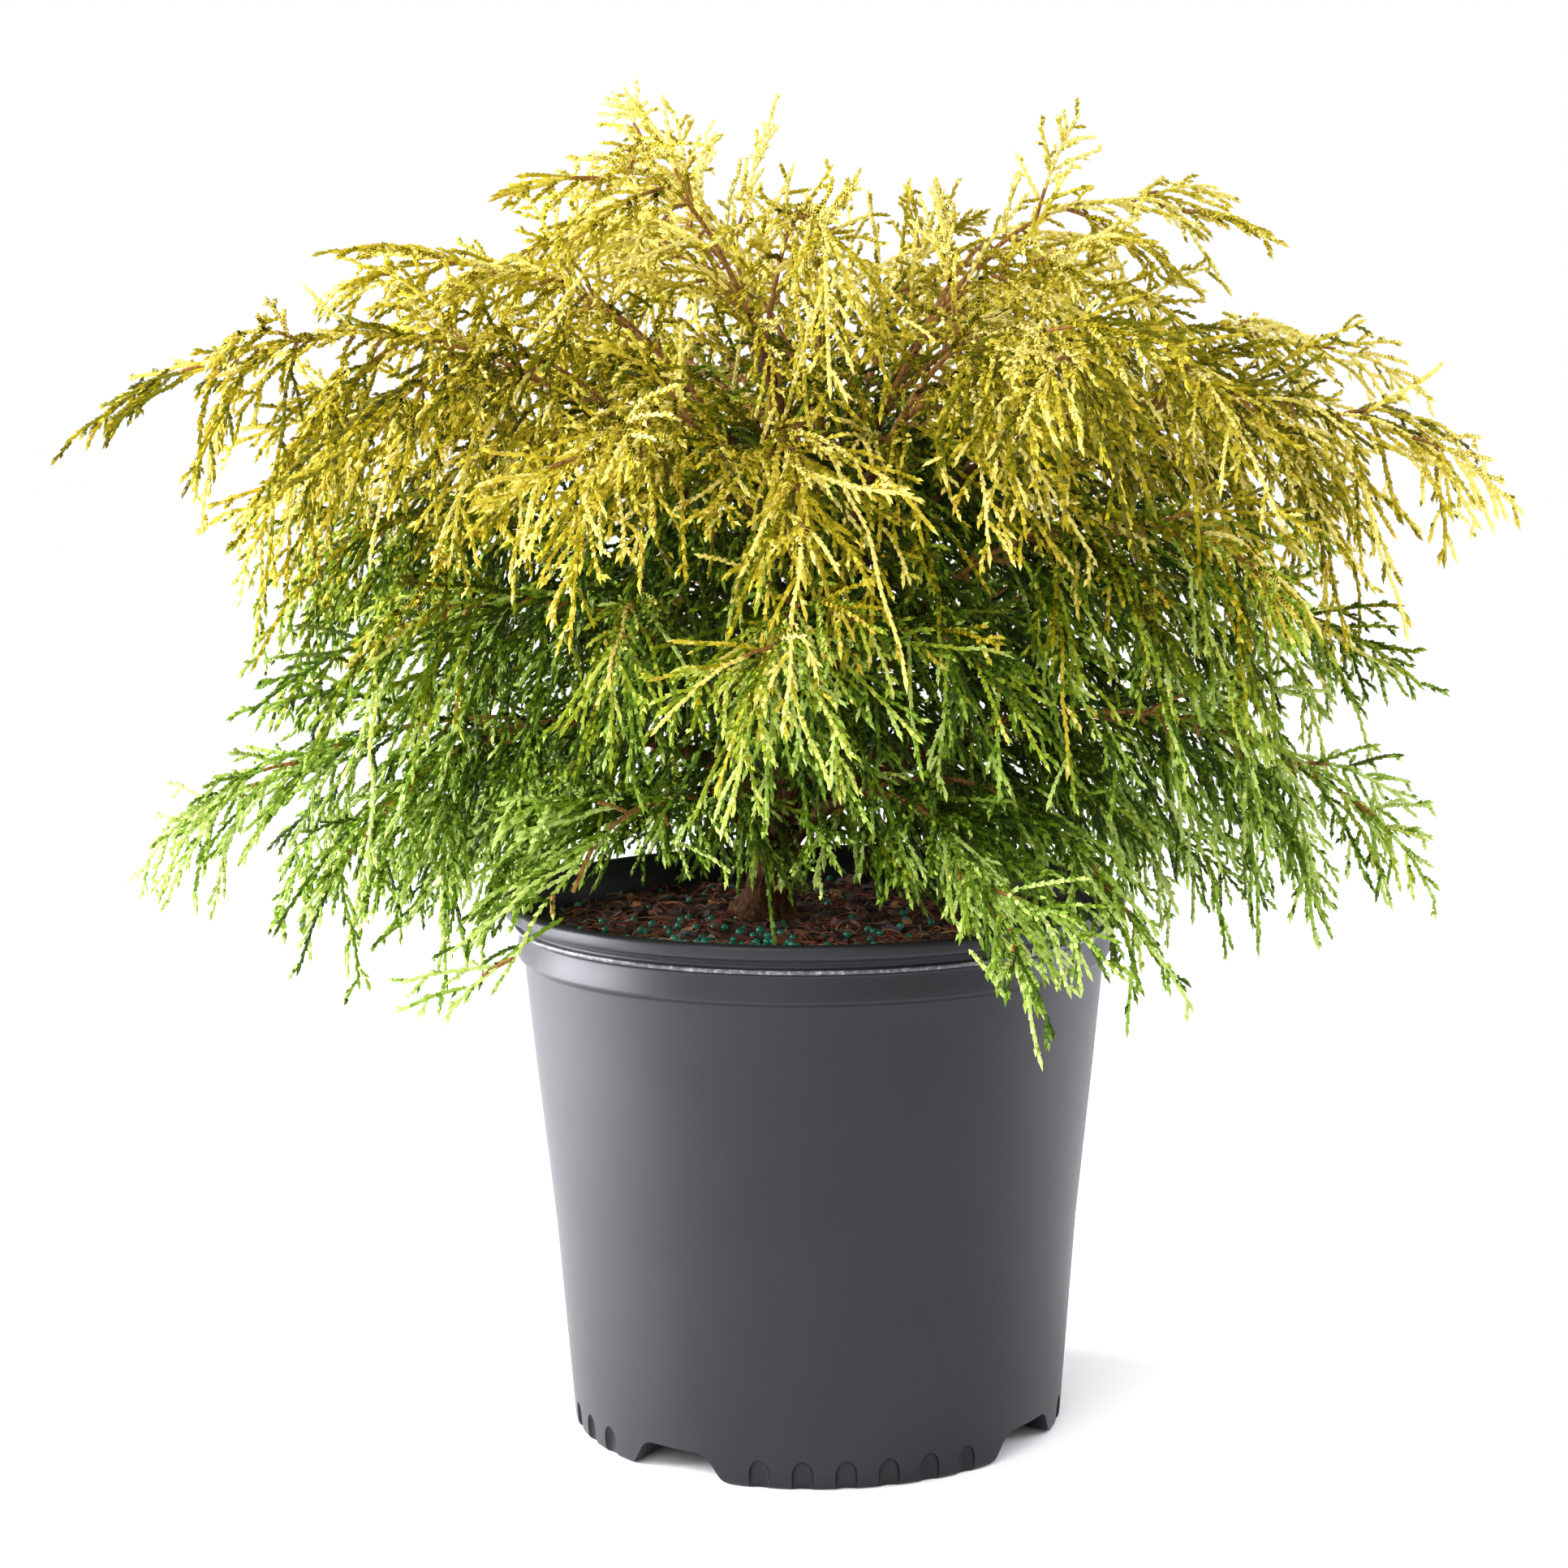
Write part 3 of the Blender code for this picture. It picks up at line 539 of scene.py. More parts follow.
def buildFibres(rng):
    # Coir and fine roots: thin three-sided strands that lie in loose arcs on the mix
    points, faces, finishes = [], [], []
    steps, room = mix["fibreSteps"], insideRadius(mix["top"]) - 3.0
    for _ in range(mix["fibres"]):
        x, y = spotOnSoil(rng, 9.0)
        heading, curl = rng.uniform(0.0, 2.0 * math.pi), rng.gauss(0.0, mix["fibreCurl"])
        length, radius = rng.uniform(*mix["fibreLength"]), rng.uniform(*mix["fibreRadius"])
        arch, tone = rng.uniform(*mix["fibreArch"]), rng.choices(range(3), weights=mix["fibreTones"])[0]
        start = len(points)
        for share in evenSteps(0.0, 1.0, steps):
            z = soilHeight(x, y) + 0.4 + arch * math.sin(math.pi * share)
            side = Vector((-math.sin(heading), math.cos(heading), 0.0))
            for corner in range(3):
                turn = 2.0 * math.pi * corner / 3
                slim = radius * (1.0 - 0.6 * share)
                points.append(Vector((x, y, z)) + side * slim * math.cos(turn)
                              + Vector((0.0, 0.0, slim * math.sin(turn))))
            heading += curl / steps + rng.gauss(0.0, mix["fibreSway"])
            x += math.cos(heading) * length / steps
            y += math.sin(heading) * length / steps
            if math.hypot(x, y) > room:
                x, y = x * room / math.hypot(x, y), y * room / math.hypot(x, y)
        faces += ringFaces(steps, 3, start)
        finishes += [tone] * 3 * (steps - 1)
    mesh = meshFromArrays("rootFibres", points, faces, finishes, smooth=True)
    # Dry coir and rootlets: matt, rusty brown to straw
    strands = [newFinish(name, colour, 0.75)[0] for name, colour in (
        ("coirRust", "#96492A"), ("coirBrown", "#6A3722"), ("rootletStraw", "#BC8156"))]
    placePiece("rootFibres", mesh, strands)


def buildBeads(rng):
    # Slow-release feed: resin-coated beads, glossy and teal, strewn mostly over the front left
    shape = bmesh.new()
    bmesh.ops.create_icosphere(shape, subdivisions=2, radius=1.0)
    ball = np.array([vertex.co[:] for vertex in shape.verts])
    ballFaces = np.array([[vertex.index for vertex in face.verts] for face in shape.faces])
    shape.free()
    points, faces, finishes = [], [], []
    for index in range(mix["beads"]):
        while True:
            if index % 3:
                x = rng.gauss(mix["beadCluster"][0], mix["beadSpread"])
                y = rng.gauss(mix["beadCluster"][1], 0.6 * mix["beadSpread"])
            else:
                x, y = spotOnSoil(rng, 5.0)
            if math.hypot(x, y) < insideRadius(mix["top"]) - 4.0:
                break
        radius = rng.uniform(*mix["beadRadius"])
        centre = np.array((x, y, soilHeight(x, y) + radius * rng.uniform(0.5, 1.3)))
        faces.append(ballFaces + len(ball) * index)
        points.append(centre + radius * ball)
        finishes += [rng.choices((0, 1), weights=mix["beadTones"])[0]] * len(ballFaces)
    mesh = meshFromArrays("feedBeads", np.concatenate(points), np.concatenate(faces), finishes, smooth=True)
    resins = [newFinish(name, colour, 0.28, 1.52)[0] for name, colour in (
        ("resinTeal", "#12785F"), ("resinPaleTeal", "#3A9E83"))]
    placePiece("feedBeads", mesh, resins)


def buildMix():
    rng = random.Random(mix["seed"])
    buildSoil()
    buildChips(rng)
    buildFibres(rng)
    buildBeads(rng)
    print("potting mix: surface, chips, fibres and beads")


# Limbs: the frame's own plan, written again

trunk = dict(
    sides=8, lobes=4, lobeDepth=0.16,
    path=((-22.0, 16.0, 227.3), (-20.0, 15.0, 237.0), (-16.0, 12.0, 262.0), (-9.0, 7.0, 300.0),
          (-3.0, 2.0, 345.0), (3.0, -1.0, 392.0), (6.0, 1.0, 440.0)),
    radii=(17.0, 11.5, 10.0, 9.2, 8.0, 6.4, 4.2),
)
tiers = {
    "skirt": dict(count=7, turn=-66.0, low=262.0, high=288.0, steps=3, bendShare=0.58, bendHeight=352.0,
                  reach=240.0, reachSide=-0.04, reachRound=0.10, tipHeight=258.0, bough=0.24,
                  boughRadius=4.4, spread=0.56, droop=0.42),
    "waist": dict(count=7, turn=-92.0, low=298.0, high=326.0, steps=3, bendShare=0.55, bendHeight=440.0,
                  reach=232.0, reachSide=-0.01, reachRound=0.08, tipHeight=374.0, bough=0.0,
                  boughRadius=3.4, spread=0.50, droop=0.40),
    "shoulder": dict(count=8, turn=-112.0, low=342.0, high=380.0, steps=3, bendShare=0.50, bendHeight=520.0,
                     reach=272.0, reachSide=0.0, reachRound=0.07, tipHeight=456.0, bough=0.24,
                     boughRadius=4.2, spread=0.54, droop=0.42),
    "dome": dict(count=6, turn=-57.0, low=390.0, high=408.0, steps=2, bendShare=0.42, bendHeight=566.0,
                 reach=178.0, reachSide=-0.03, reachRound=0.05, tipHeight=526.0, bough=0.24,
                 boughRadius=3.6, spread=0.60, droop=0.30),
    "top": dict(count=3, turn=34.0, low=423.0, high=431.0, steps=3, bendShare=0.42, bendHeight=540.0,
                reach=88.0, reachSide=-0.10, reachRound=0.0, tipHeight=562.0, bough=0.0,
                boughRadius=3.2, spread=0.56, droop=0.10),
    "leader": dict(count=1, turn=172.0, low=440.0, high=440.0, steps=1, bendShare=0.10, bendHeight=530.0,
                   reach=84.0, reachSide=0.0, reachRound=0.0, tipHeight=598.0, bough=0.0,
                   boughRadius=3.2, spread=0.50, droop=0.05),
}
growth = dict(
    seed=41, gap=0.3, crownMiddle=(0.0, 0.0, 330.0),
    azimuthJitter=5.0, heightJitter=8.0, stagger=34.0, reachJitter=0.035, sideBow=14.0,
    boughSides=5, boughRings=4, boughTaper=0.62, stemSides=3, stemRings=6,
    spraysPerStem=6, firstSpray=0.07, lastSpray=0.93, placeJitter=0.2, sprayShortening=0.55,
    sprayAngle=38.0, sprayRoll=137.5, sprayRollStart=20.0, sprayTilt=30.0, sprayStations=5,
    sprayHalfWidth=2.8, shootAngle=37.0, shootShare=0.68, shootShortening=0.22, shootDroop=0.14,
    angleJitter=6.0, lengthJitter=0.13,
    spineApart=8.0, shootApart=6.0, edgeApart=3.4, limbClearance=3.4, potClearance=4.0, sampleStep=4.0,
    shorterTries=(1.0, 0.85, 0.7, 0.55), shortest=14.0,
)


def sideOf(tangent):
    # A level direction square to this one, which may stand upright
    side = tangent.cross(Vector((0.0, 0.0, 1.0)))
    if side.length < 0.2:
        side = tangent.cross(Vector((0.0, 1.0, 0.0)))
    return side.normalized()


def framesAlong(path, evenlySpaced=True):
    # A direction and two square ones at each point, carried along without a twist
    tangents = []
    for index in range(len(path)):
        before, after = path[max(index - 1, 0)], path[min(index + 1, len(path) - 1)]
        tangents.append((after - before).normalized())
    if evenlySpaced and len(path) > 2:
        tangents[0] = (3.0 * (path[1] - path[0]) - (path[2] - path[1])).normalized()
        tangents[-1] = (3.0 * (path[-1] - path[-2]) - (path[-2] - path[-3])).normalized()
    side = sideOf(tangents[0])
    frames = []
    for tangent in tangents:
        side = (side - tangent * side.dot(tangent)).normalized()
        frames.append((tangent, side, tangent.cross(side)))
    return frames


def ringAt(point, radius, frameHere, sides, lobe=0.0):
    corners = []
    for corner in range(sides):
        angle = 2.0 * math.pi * (corner + 0.5) / sides
        reach = radius * (1.0 + lobe * math.cos(trunk["lobes"] * angle))
        corners.append(point + reach * (math.cos(angle) * frameHere[1] + math.sin(angle) * frameHere[2]))
    return corners


def trunkTree():
    # The frame's plain trunk, to seat the limbs against
    path = [Vector(point) for point in trunk["path"]]
    lobes = [trunk["lobeDepth"], trunk["lobeDepth"] / 3.0] + [0.0] * (len(path) - 2)
    points, sides = [], trunk["sides"]
    for index, frameHere in enumerate(framesAlong(path, False)):
        points += ringAt(path[index], trunk["radii"][index], frameHere, sides, lobes[index])
    for point in points[:sides]:
        point.z = path[0].z
    faces = ringFaces(len(path), sides)
    faces.append(tuple(reversed(range(sides))))
    faces.append(tuple(range(len(points) - sides, len(points))))
    return BVHTree.FromPolygons([point * mm for point in points], faces)


def trunkAt(height):
    path, radii = trunk["path"], trunk["radii"]
    for index in range(len(path) - 1):
        low, high = Vector(path[index]), Vector(path[index + 1])
        if height <= high.z or index == len(path) - 2:
            share = (height - low.z) / (high.z - low.z)
            return low.lerp(high, share), radii[index] + share * (radii[index + 1] - radii[index])


def limbPath(limb, first, last, count):
    shares = evenSteps(first, last, count)
    return [curveAt(limb["start"], limb["bend"], limb["tip"], share) for share in shares]


def sprayPath(spray, shares):
    return [spray["root"] + spray["direction"] * spray["span"] * share
            - Vector((0.0, 0.0, spray["droop"] * spray["span"] * share * share)) for share in shares]


def nodeName(limb, kind):
    return "{0[tier]}_{1}_{0[number]}".format(limb, kind)


def planLimbs(rng):
    limbs = []
    for tier, size in tiers.items():
        for index in range(size["count"]):
            turn = size["turn"] + 360.0 * index / size["count"]
            angle = math.radians(turn + jitter(rng, growth["azimuthJitter"]))
            outward = Vector((math.cos(angle), math.sin(angle), 0.0))
            sideways = Vector((-math.sin(angle), math.cos(angle), 0.0))
            step = (index % size["steps"]) / max(size["steps"] - 1, 1)
            height = size["low"] + step * (size["high"] - size["low"])
            reach = size["reach"] * (1.0 + size["reachSide"] * math.cos(angle)
                                     + size["reachRound"] * math.cos(2.0 * angle)
                                     + jitter(rng, growth["reachJitter"]))
            axis, trunkRadius = trunkAt(height)
            bend = outward * reach * size["bendShare"] + sideways * jitter(rng, growth["sideBow"])
            lift = growth["stagger"] * (index % 2 - 0.5)
            bend.z = size["bendHeight"] + lift + jitter(rng, growth["heightJitter"])
            tip = outward * reach
            tip.z = size["tipHeight"] + lift + jitter(rng, growth["heightJitter"])
            away = Vector((0.0, 0.0, 1.0)) if tier == "leader" else outward
            start = axis + away * (trunkRadius + size["boughRadius"])
            limbs.append(dict(tier=tier, number=index + 1, start=start, bend=bend, tip=tip, axis=axis,
                              away=away, radius=size["boughRadius"], bough=size["bough"]))
    return limbs


def seatOnTrunk(limb, tree, sides):
    # Slides the limb's foot along until it stands one gap clear of the trunk
    last = limb["bough"] or 0.3
    for _ in range(6):
        path = limbPath(limb, 0.0, last, growth["boughRings"])
        rim = [point * mm for point in ringAt(path[0], limb["radius"], framesAlong(path)[0], sides)]
        middle = sum(rim, Vector()) / sides
        points = rim + [rim[corner - 1].lerp(rim[corner], 0.5) for corner in range(sides)]
        points += [point.lerp(middle, 0.5) for point in points] + [middle]
        nearest = math.inf
        for point in points:
            place, normal, _, distance = tree.find_nearest(point)
            nearest = min(nearest, distance if (point - place).dot(normal) > 0.0 else -distance)
        limb["start"] += limb["away"] * (growth["gap"] - nearest / mm)


def samplePath(path, step):
    points = []
    for low, high in zip(path, path[1:]):
        pieces = max(1, math.ceil((high - low).length / step))
        points += [low.lerp(high, index / pieces) for index in range(pieces)]
    points.append(path[-1])
    return points


def distanceTo(path, point):
    best = math.inf
    for low, high in zip(path, path[1:]):
        along = high - low
        share = max(0.0, min(1.0, (point - low).dot(along) / along.length_squared))
        best = min(best, (low + share * along - point).length)
    return best


def clearOfPot(point):
    radius, clear = math.hypot(point.x, point.y), growth["potClearance"]
    if point.z > pot["height"] + clear or radius > pot["lipRadius"] + clear:
        return True
    return point.z > mix["top"] + clear and radius < insideRadius(mix["top"]) - clear


def keepsItsSpace(path, own, stems, woods, apart, skipFirst):
    for point in samplePath(path, growth["sampleStep"])[skipFirst:]:
        if not clearOfPot(point):
            return False
        limit = distanceTo(stems[own], point) + apart
        for other, stem in stems.items():
            if other != own and distanceTo(stem, point) < limit:
                return False
        for wood, radius in woods:
            if distanceTo(wood, point) < radius + growth["limbClearance"]:
                return False
    return True


def facingFrames(path, tilt):
    # Lays a spray's flat side along the crown's surface, give or take its tilt
    outward = (path[1] - Vector(growth["crownMiddle"])).normalized()
    frames = []
    for tangent, _, _ in framesAlong(path):
        side = tangent.cross(outward)
        if side.length < 0.15:
            side = tangent.cross(Vector((0.0, 0.0, 1.0)))
        side.normalize()
        side = side * math.cos(tilt) + tangent.cross(side) * math.sin(tilt)
        frames.append((tangent, side, tangent.cross(side)))
    return frames


def planShoots(path, frames, own, stems, woods, rng):
    length = (path[-1] - path[0]).length
    shoots = []
    for index in range(1, len(path) - 1):
        tangent, side, _ = frames[index]
        middle = path[index - 1].lerp(path[index], 0.5)
        for sign in (1.0, -1.0):
            edge = sign * side * growth["sprayHalfWidth"]
            angle = math.radians(growth["shootAngle"] + jitter(rng, growth["angleJitter"]))
            reach = length * growth["shootShare"] * (1.1 - growth["shootShortening"] * index)
            reach *= 1.0 + jitter(rng, growth["lengthJitter"])
            direction = tangent * math.cos(angle) + sign * side * math.sin(angle)
            for shorter in growth["shorterTries"]:
                tip = middle + direction * reach * shorter
                tip.z -= growth["shootDroop"] * reach * shorter
                lines = ((middle, growth["shootApart"]), (path[index - 1] + edge, growth["edgeApart"]),
                         (path[index] + edge, growth["edgeApart"]))
                if all(keepsItsSpace([root, tip], own, stems, woods, apart, 1) for root, apart in lines):
                    shoots.append((middle, tip))
                    break
    return shoots


def planSprays(limb, name, stems, woods, rng):
    size, stem = tiers[limb["tier"]], stems[name]
    length = sum((high - low).length for low, high in zip(stem, stem[1:]))
    frames = framesAlong(stem)
    sprays = []
    for index in range(growth["spraysPerStem"]):
        step = (index + jitter(rng, growth["placeJitter"])) / (growth["spraysPerStem"] - 1)
        share = growth["firstSpray"] + (growth["lastSpray"] - growth["firstSpray"]) * max(0.0, min(1.0, step))
        place = share * (len(stem) - 1)
        low = min(int(place), len(stem) - 2)
        root = stem[low].lerp(stem[low + 1], place - low)
        tangent, side, up = frames[low]
        angle = math.radians(growth["sprayAngle"] + jitter(rng, growth["angleJitter"]))
        roll = math.radians(growth["sprayRollStart"] + growth["sprayRoll"] * index)
        tilt = math.radians(jitter(rng, growth["sprayTilt"]))
        aside = side * math.cos(roll) + up * math.sin(roll)
        direction = (tangent * math.cos(angle) + aside * math.sin(angle)).normalized()
        reach = length * size["spread"] * (1.0 - growth["sprayShortening"] * share)
        reach *= 1.0 + jitter(rng, growth["lengthJitter"])
        for shorter in growth["shorterTries"]:
            if reach * shorter < growth["shortest"]:
                break
            spray = dict(root=root, direction=direction, span=reach * shorter, droop=size["droop"])
            path = sprayPath(spray, evenSteps(0.0, 1.0, growth["sprayStations"]))
            if keepsItsSpace(path, name, stems, woods, growth["spineApart"], 2):
                facing = facingFrames(path, tilt)
                spray["normal"] = facing[1][2]
                spray["shoots"] = planShoots(path, facing, name, stems, woods, rng)
                sprays.append(spray)
                break
    return sprays


def planCrown():
    rng = random.Random(growth["seed"])
    tree = trunkTree()
    limbs = planLimbs(rng)
    woods = [([Vector(point) for point in trunk["path"]], max(trunk["radii"][1:]))]
    stems = {}
    for limb in limbs:
        seatOnTrunk(limb, tree, growth["boughSides"] if limb["bough"] else growth["stemSides"])
        if limb["bough"]:
            woods.append((limbPath(limb, 0.0, limb["bough"], growth["boughRings"]), limb["radius"]))
        stem = limbPath(limb, limb["bough"], 1.0, growth["stemRings"] + 1)
        if limb["bough"]:
            stem[0] = stem[0] + growth["gap"] * (stem[1] - stem[0]).normalized()
        stems[nodeName(limb, "foliage")] = stem
    for limb in limbs:
        limb["sprays"] = planSprays(limb, nodeName(limb, "foliage"), stems, woods, rng)
    print("plan:", len(limbs), "limbs and", sum(len(limb["sprays"]) for limb in limbs), "sprays")
    return limbs


# Wood: trunk and boughs with their bark, and the bare part of each twig

bark = dict(
    trunkSides=56, trunkStep=1.7, flareHeight=16.0, ridgeDepth=0.9, ridges=9,
    # How far a ridge runs before it drifts, the length of a bark plate, and the most relief for a radius
    driftLength=30.0, plateLength=7.0, deepest=0.11,
    boughSides=18, boughStep=1.8, boughDepth=0.54, boughRidges=6, boughPast=0.03, intoTrunk=3.0, collar=1.15,
    # How much of a stem or twig is bare, its radius at both ends, and its relief and number of ridges
    stemBare=0.50, stemRadius=(1.7, 0.85), stemSteps=26, stemRelief=(0.2, 3), intoWood=2.0,
    twigBare=0.26, twigRadius=(1.05, 0.8), twigSteps=8, twigRelief=(0.1, 2), twigSides=5,
    branchSteps=18, branchRelief=(0.15, 2), stemSides=6,
    strips=90, stripLength=(9.0, 26.0), stripWidth=(1.2, 3.0), stripSteps=5, stripLift=(0.4, 1.6),
    stripClear=0.2, stripNarrow=0.7,
)


def smoothPath(points, radii, step):
    # Runs a smooth curve through the points, one station every step
    path, widths = [], []
    for index in range(len(points) - 1):
        before, low = Vector(points[max(index - 1, 0)]), Vector(points[index])
        high, after = Vector(points[index + 1]), Vector(points[min(index + 2, len(points) - 1)])
        pieces = max(2, round((high - low).length / step))
        for piece in range(pieces):
            t = piece / pieces
            path.append(0.5 * (2.0 * low + (high - before) * t
                               + (2.0 * before - 5.0 * low + 4.0 * high - after) * t * t
                               + (3.0 * low - before - 3.0 * high + after) * t ** 3))
            widths.append(radii[index] + (radii[index + 1] - radii[index]) * t)
    path.append(Vector(points[-1]))
    widths.append(radii[-1])
    return path, widths


def barkTube(path, radii, sides, depth, ridges, lobes=None, offset=0.0):
    # Ridges of fibrous bark run along the limb and drift round it as they go
    points, travelled = [], 0.0
    for index, (_, side, up) in enumerate(framesAlong(path, False)):
        if index:
            travelled += (path[index] - path[index - 1]).length
        for corner in range(sides):
            angle = 2.0 * math.pi * corner / sides
            lobe = lobes[index] if lobes else 0.0
            radius = radii[index] * (1.0 + lobe * math.cos(trunk["lobes"] * angle))
            around = Vector((math.cos(angle), math.sin(angle), 0.0)) * ridges / 5.0
            drift = noise.noise(around + Vector((offset, 0.0, travelled / bark["driftLength"])))
            ridge = 1.0 - abs(math.sin(ridges * angle / 2.0 + 3.0 * drift))
            plate = noise.noise(around * 3.0 + Vector((offset, 5.0, travelled / bark["plateLength"])))
            radius += min(depth, bark["deepest"] * radii[index]) * (ridge - 0.6 + 0.9 * plate)
            points.append(path[index] + radius * (math.cos(angle) * side + math.sin(angle) * up))
    count = len(points)
    faces = ringFaces(len(path), sides)
    faces += capFaces(count, 0, sides) + capFaces(count + 1, count - sides, sides)
    return points + [path[0], path[-1]], faces


def fibrousBark(name, stops):
    # Thin cypress bark that peels in long fibres: matt, dark in the cracks and tan where fibres stand up
    along = (1.0, 1.0, 0.16)
    return mottledFinish(name, stops, 1.3, 0.82, {"Detail": 4.0}, along, relief=(0.7, 0.3), specular=0.15)[0]


def peelingStrips(rng, path, radii):
    # Loose strips of bark, thin and long, lifted at their lower end
    shapes = []
    frames = framesAlong(path, False)
    for _ in range(bark["strips"]):
        place = rng.randrange(4, int(len(path) * 0.8))
        length, width = rng.uniform(*bark["stripLength"]), rng.uniform(*bark["stripWidth"])
        turn, lift = rng.uniform(0.0, 2.0 * math.pi), rng.uniform(*bark["stripLift"])
        tangent, side, up = frames[place]
        out = math.cos(turn) * side + math.sin(turn) * up
        across = tangent.cross(out)
        points, steps = [], bark["stripSteps"]
        for share in evenSteps(0.0, 1.0, steps):
            centre = path[place] + out * (radii[place] + bark["stripClear"] + lift * share * share)
            centre -= tangent * length * share
            half = width / 2.0 * (1.0 - bark["stripNarrow"] * share)
            for sign, deep in ((-1, -0.35), (1, -0.35), (1, 0.25), (-1, 0.25)):
                points.append(centre + across * half * sign + out * deep)
        ends = [(0, 1, 2, 3), tuple(4 * (steps - 1) + corner for corner in (3, 2, 1, 0))]
        shapes.append((points, ends + ringFaces(steps, 4)))
    return shapes


def placeWood(name, shapes, finish, nodes=()):
    mesh = solidMesh(name, *joinShapes(shapes))
    mesh.shade_smooth()
    placePiece(name, mesh, [finish], nodes)


def trunkShapes(rng):
    # The trunk's root lobes fade out over its flare, and its foot is cut flat on the mix
    path, radii = smoothPath(trunk["path"], trunk["radii"], bark["trunkStep"])
    base = trunk["path"][0][2]
    lobes = [trunk["lobeDepth"] * max(0.0, 1.0 - (point.z - base) / bark["flareHeight"]) for point in path]
    points, faces = barkTube(path, radii, bark["trunkSides"], bark["ridgeDepth"], bark["ridges"], lobes)
    for point in points[:bark["trunkSides"]]:
        point.z = base
    return [(points, faces)] + peelingStrips(rng, path, radii)


def boughShape(limb, index):
    count = max(6, int((limb["tip"] - limb["start"]).length * limb["bough"] / bark["boughStep"]))
    radius = limb["radius"]
    path = [limb["start"] - limb["away"] * bark["intoTrunk"]]
    path += limbPath(limb, 0.0, limb["bough"] + bark["boughPast"], count)
    radii = [radius * bark["collar"]] + evenSteps(radius, radius * growth["boughTaper"], count)
    depth, ridges = bark["boughDepth"], bark["boughRidges"]
    return barkTube(path, radii, bark["boughSides"], depth, ridges, offset=3.0 * index)


def twigShapes(limbs, branches):
    shapes = []
    for index, limb in enumerate(limbs):
        first = limb["bough"]
        path = limbPath(limb, first, first + (1.0 - first) * bark["stemBare"], bark["stemSteps"])
        if not first:
            path = [limb["start"] - limb["away"] * bark["intoWood"]] + path
        radii = evenSteps(*bark["stemRadius"], len(path))
        shapes.append(barkTube(path, radii, bark["stemSides"], *bark["stemRelief"], offset=2.0 * index))
        for spray in limb["sprays"]:
            path = sprayPath(spray, evenSteps(0.0, bark["twigBare"], bark["twigSteps"]))
            radii = evenSteps(*bark["twigRadius"], len(path))
            shapes.append(barkTube(path, radii, bark["twigSides"], *bark["twigRelief"], offset=1.0))
    for index, branch in enumerate(branches):
        path = limbPath(branch, 0.0, laterals["woodTo"], bark["branchSteps"])
        radii = evenSteps(*laterals["woodRadius"], len(path))
        shapes.append(barkTube(path, radii, bark["stemSides"], *bark["branchRelief"], offset=4.0 * index))
    return shapes


def buildWood(limbs, branches):
    oldWood = fibrousBark("fibrousCypressBark", ((0.3, "#22150A"), (0.5, "#4A2E15"), (0.7, "#75502B")))
    # Two-year twigs: thin bark, rusty where the scales have dropped
    youngWood = fibrousBark("rustyTwigBark", ((0.3, "#55371A"), (0.5, "#80582A"), (0.75, "#A8843F")))
    placeWood("trunkBark", trunkShapes(random.Random(growth["seed"] + 1)), oldWood, ["trunk"])
    boughs = [(index, limb) for index, limb in enumerate(limbs) if limb["bough"]]
    placeWood("boughs", [boughShape(limb, index) for index, limb in boughs], oldWood,
              [nodeName(limb, "bough") for _, limb in boughs])
    placeWood("bareTwigs", twigShapes(limbs, branches), youngWood)
    print("wood: trunk, boughs and bare twigs")


# Foliage: threads of overlapping scale leaves, three orders of them on every spray

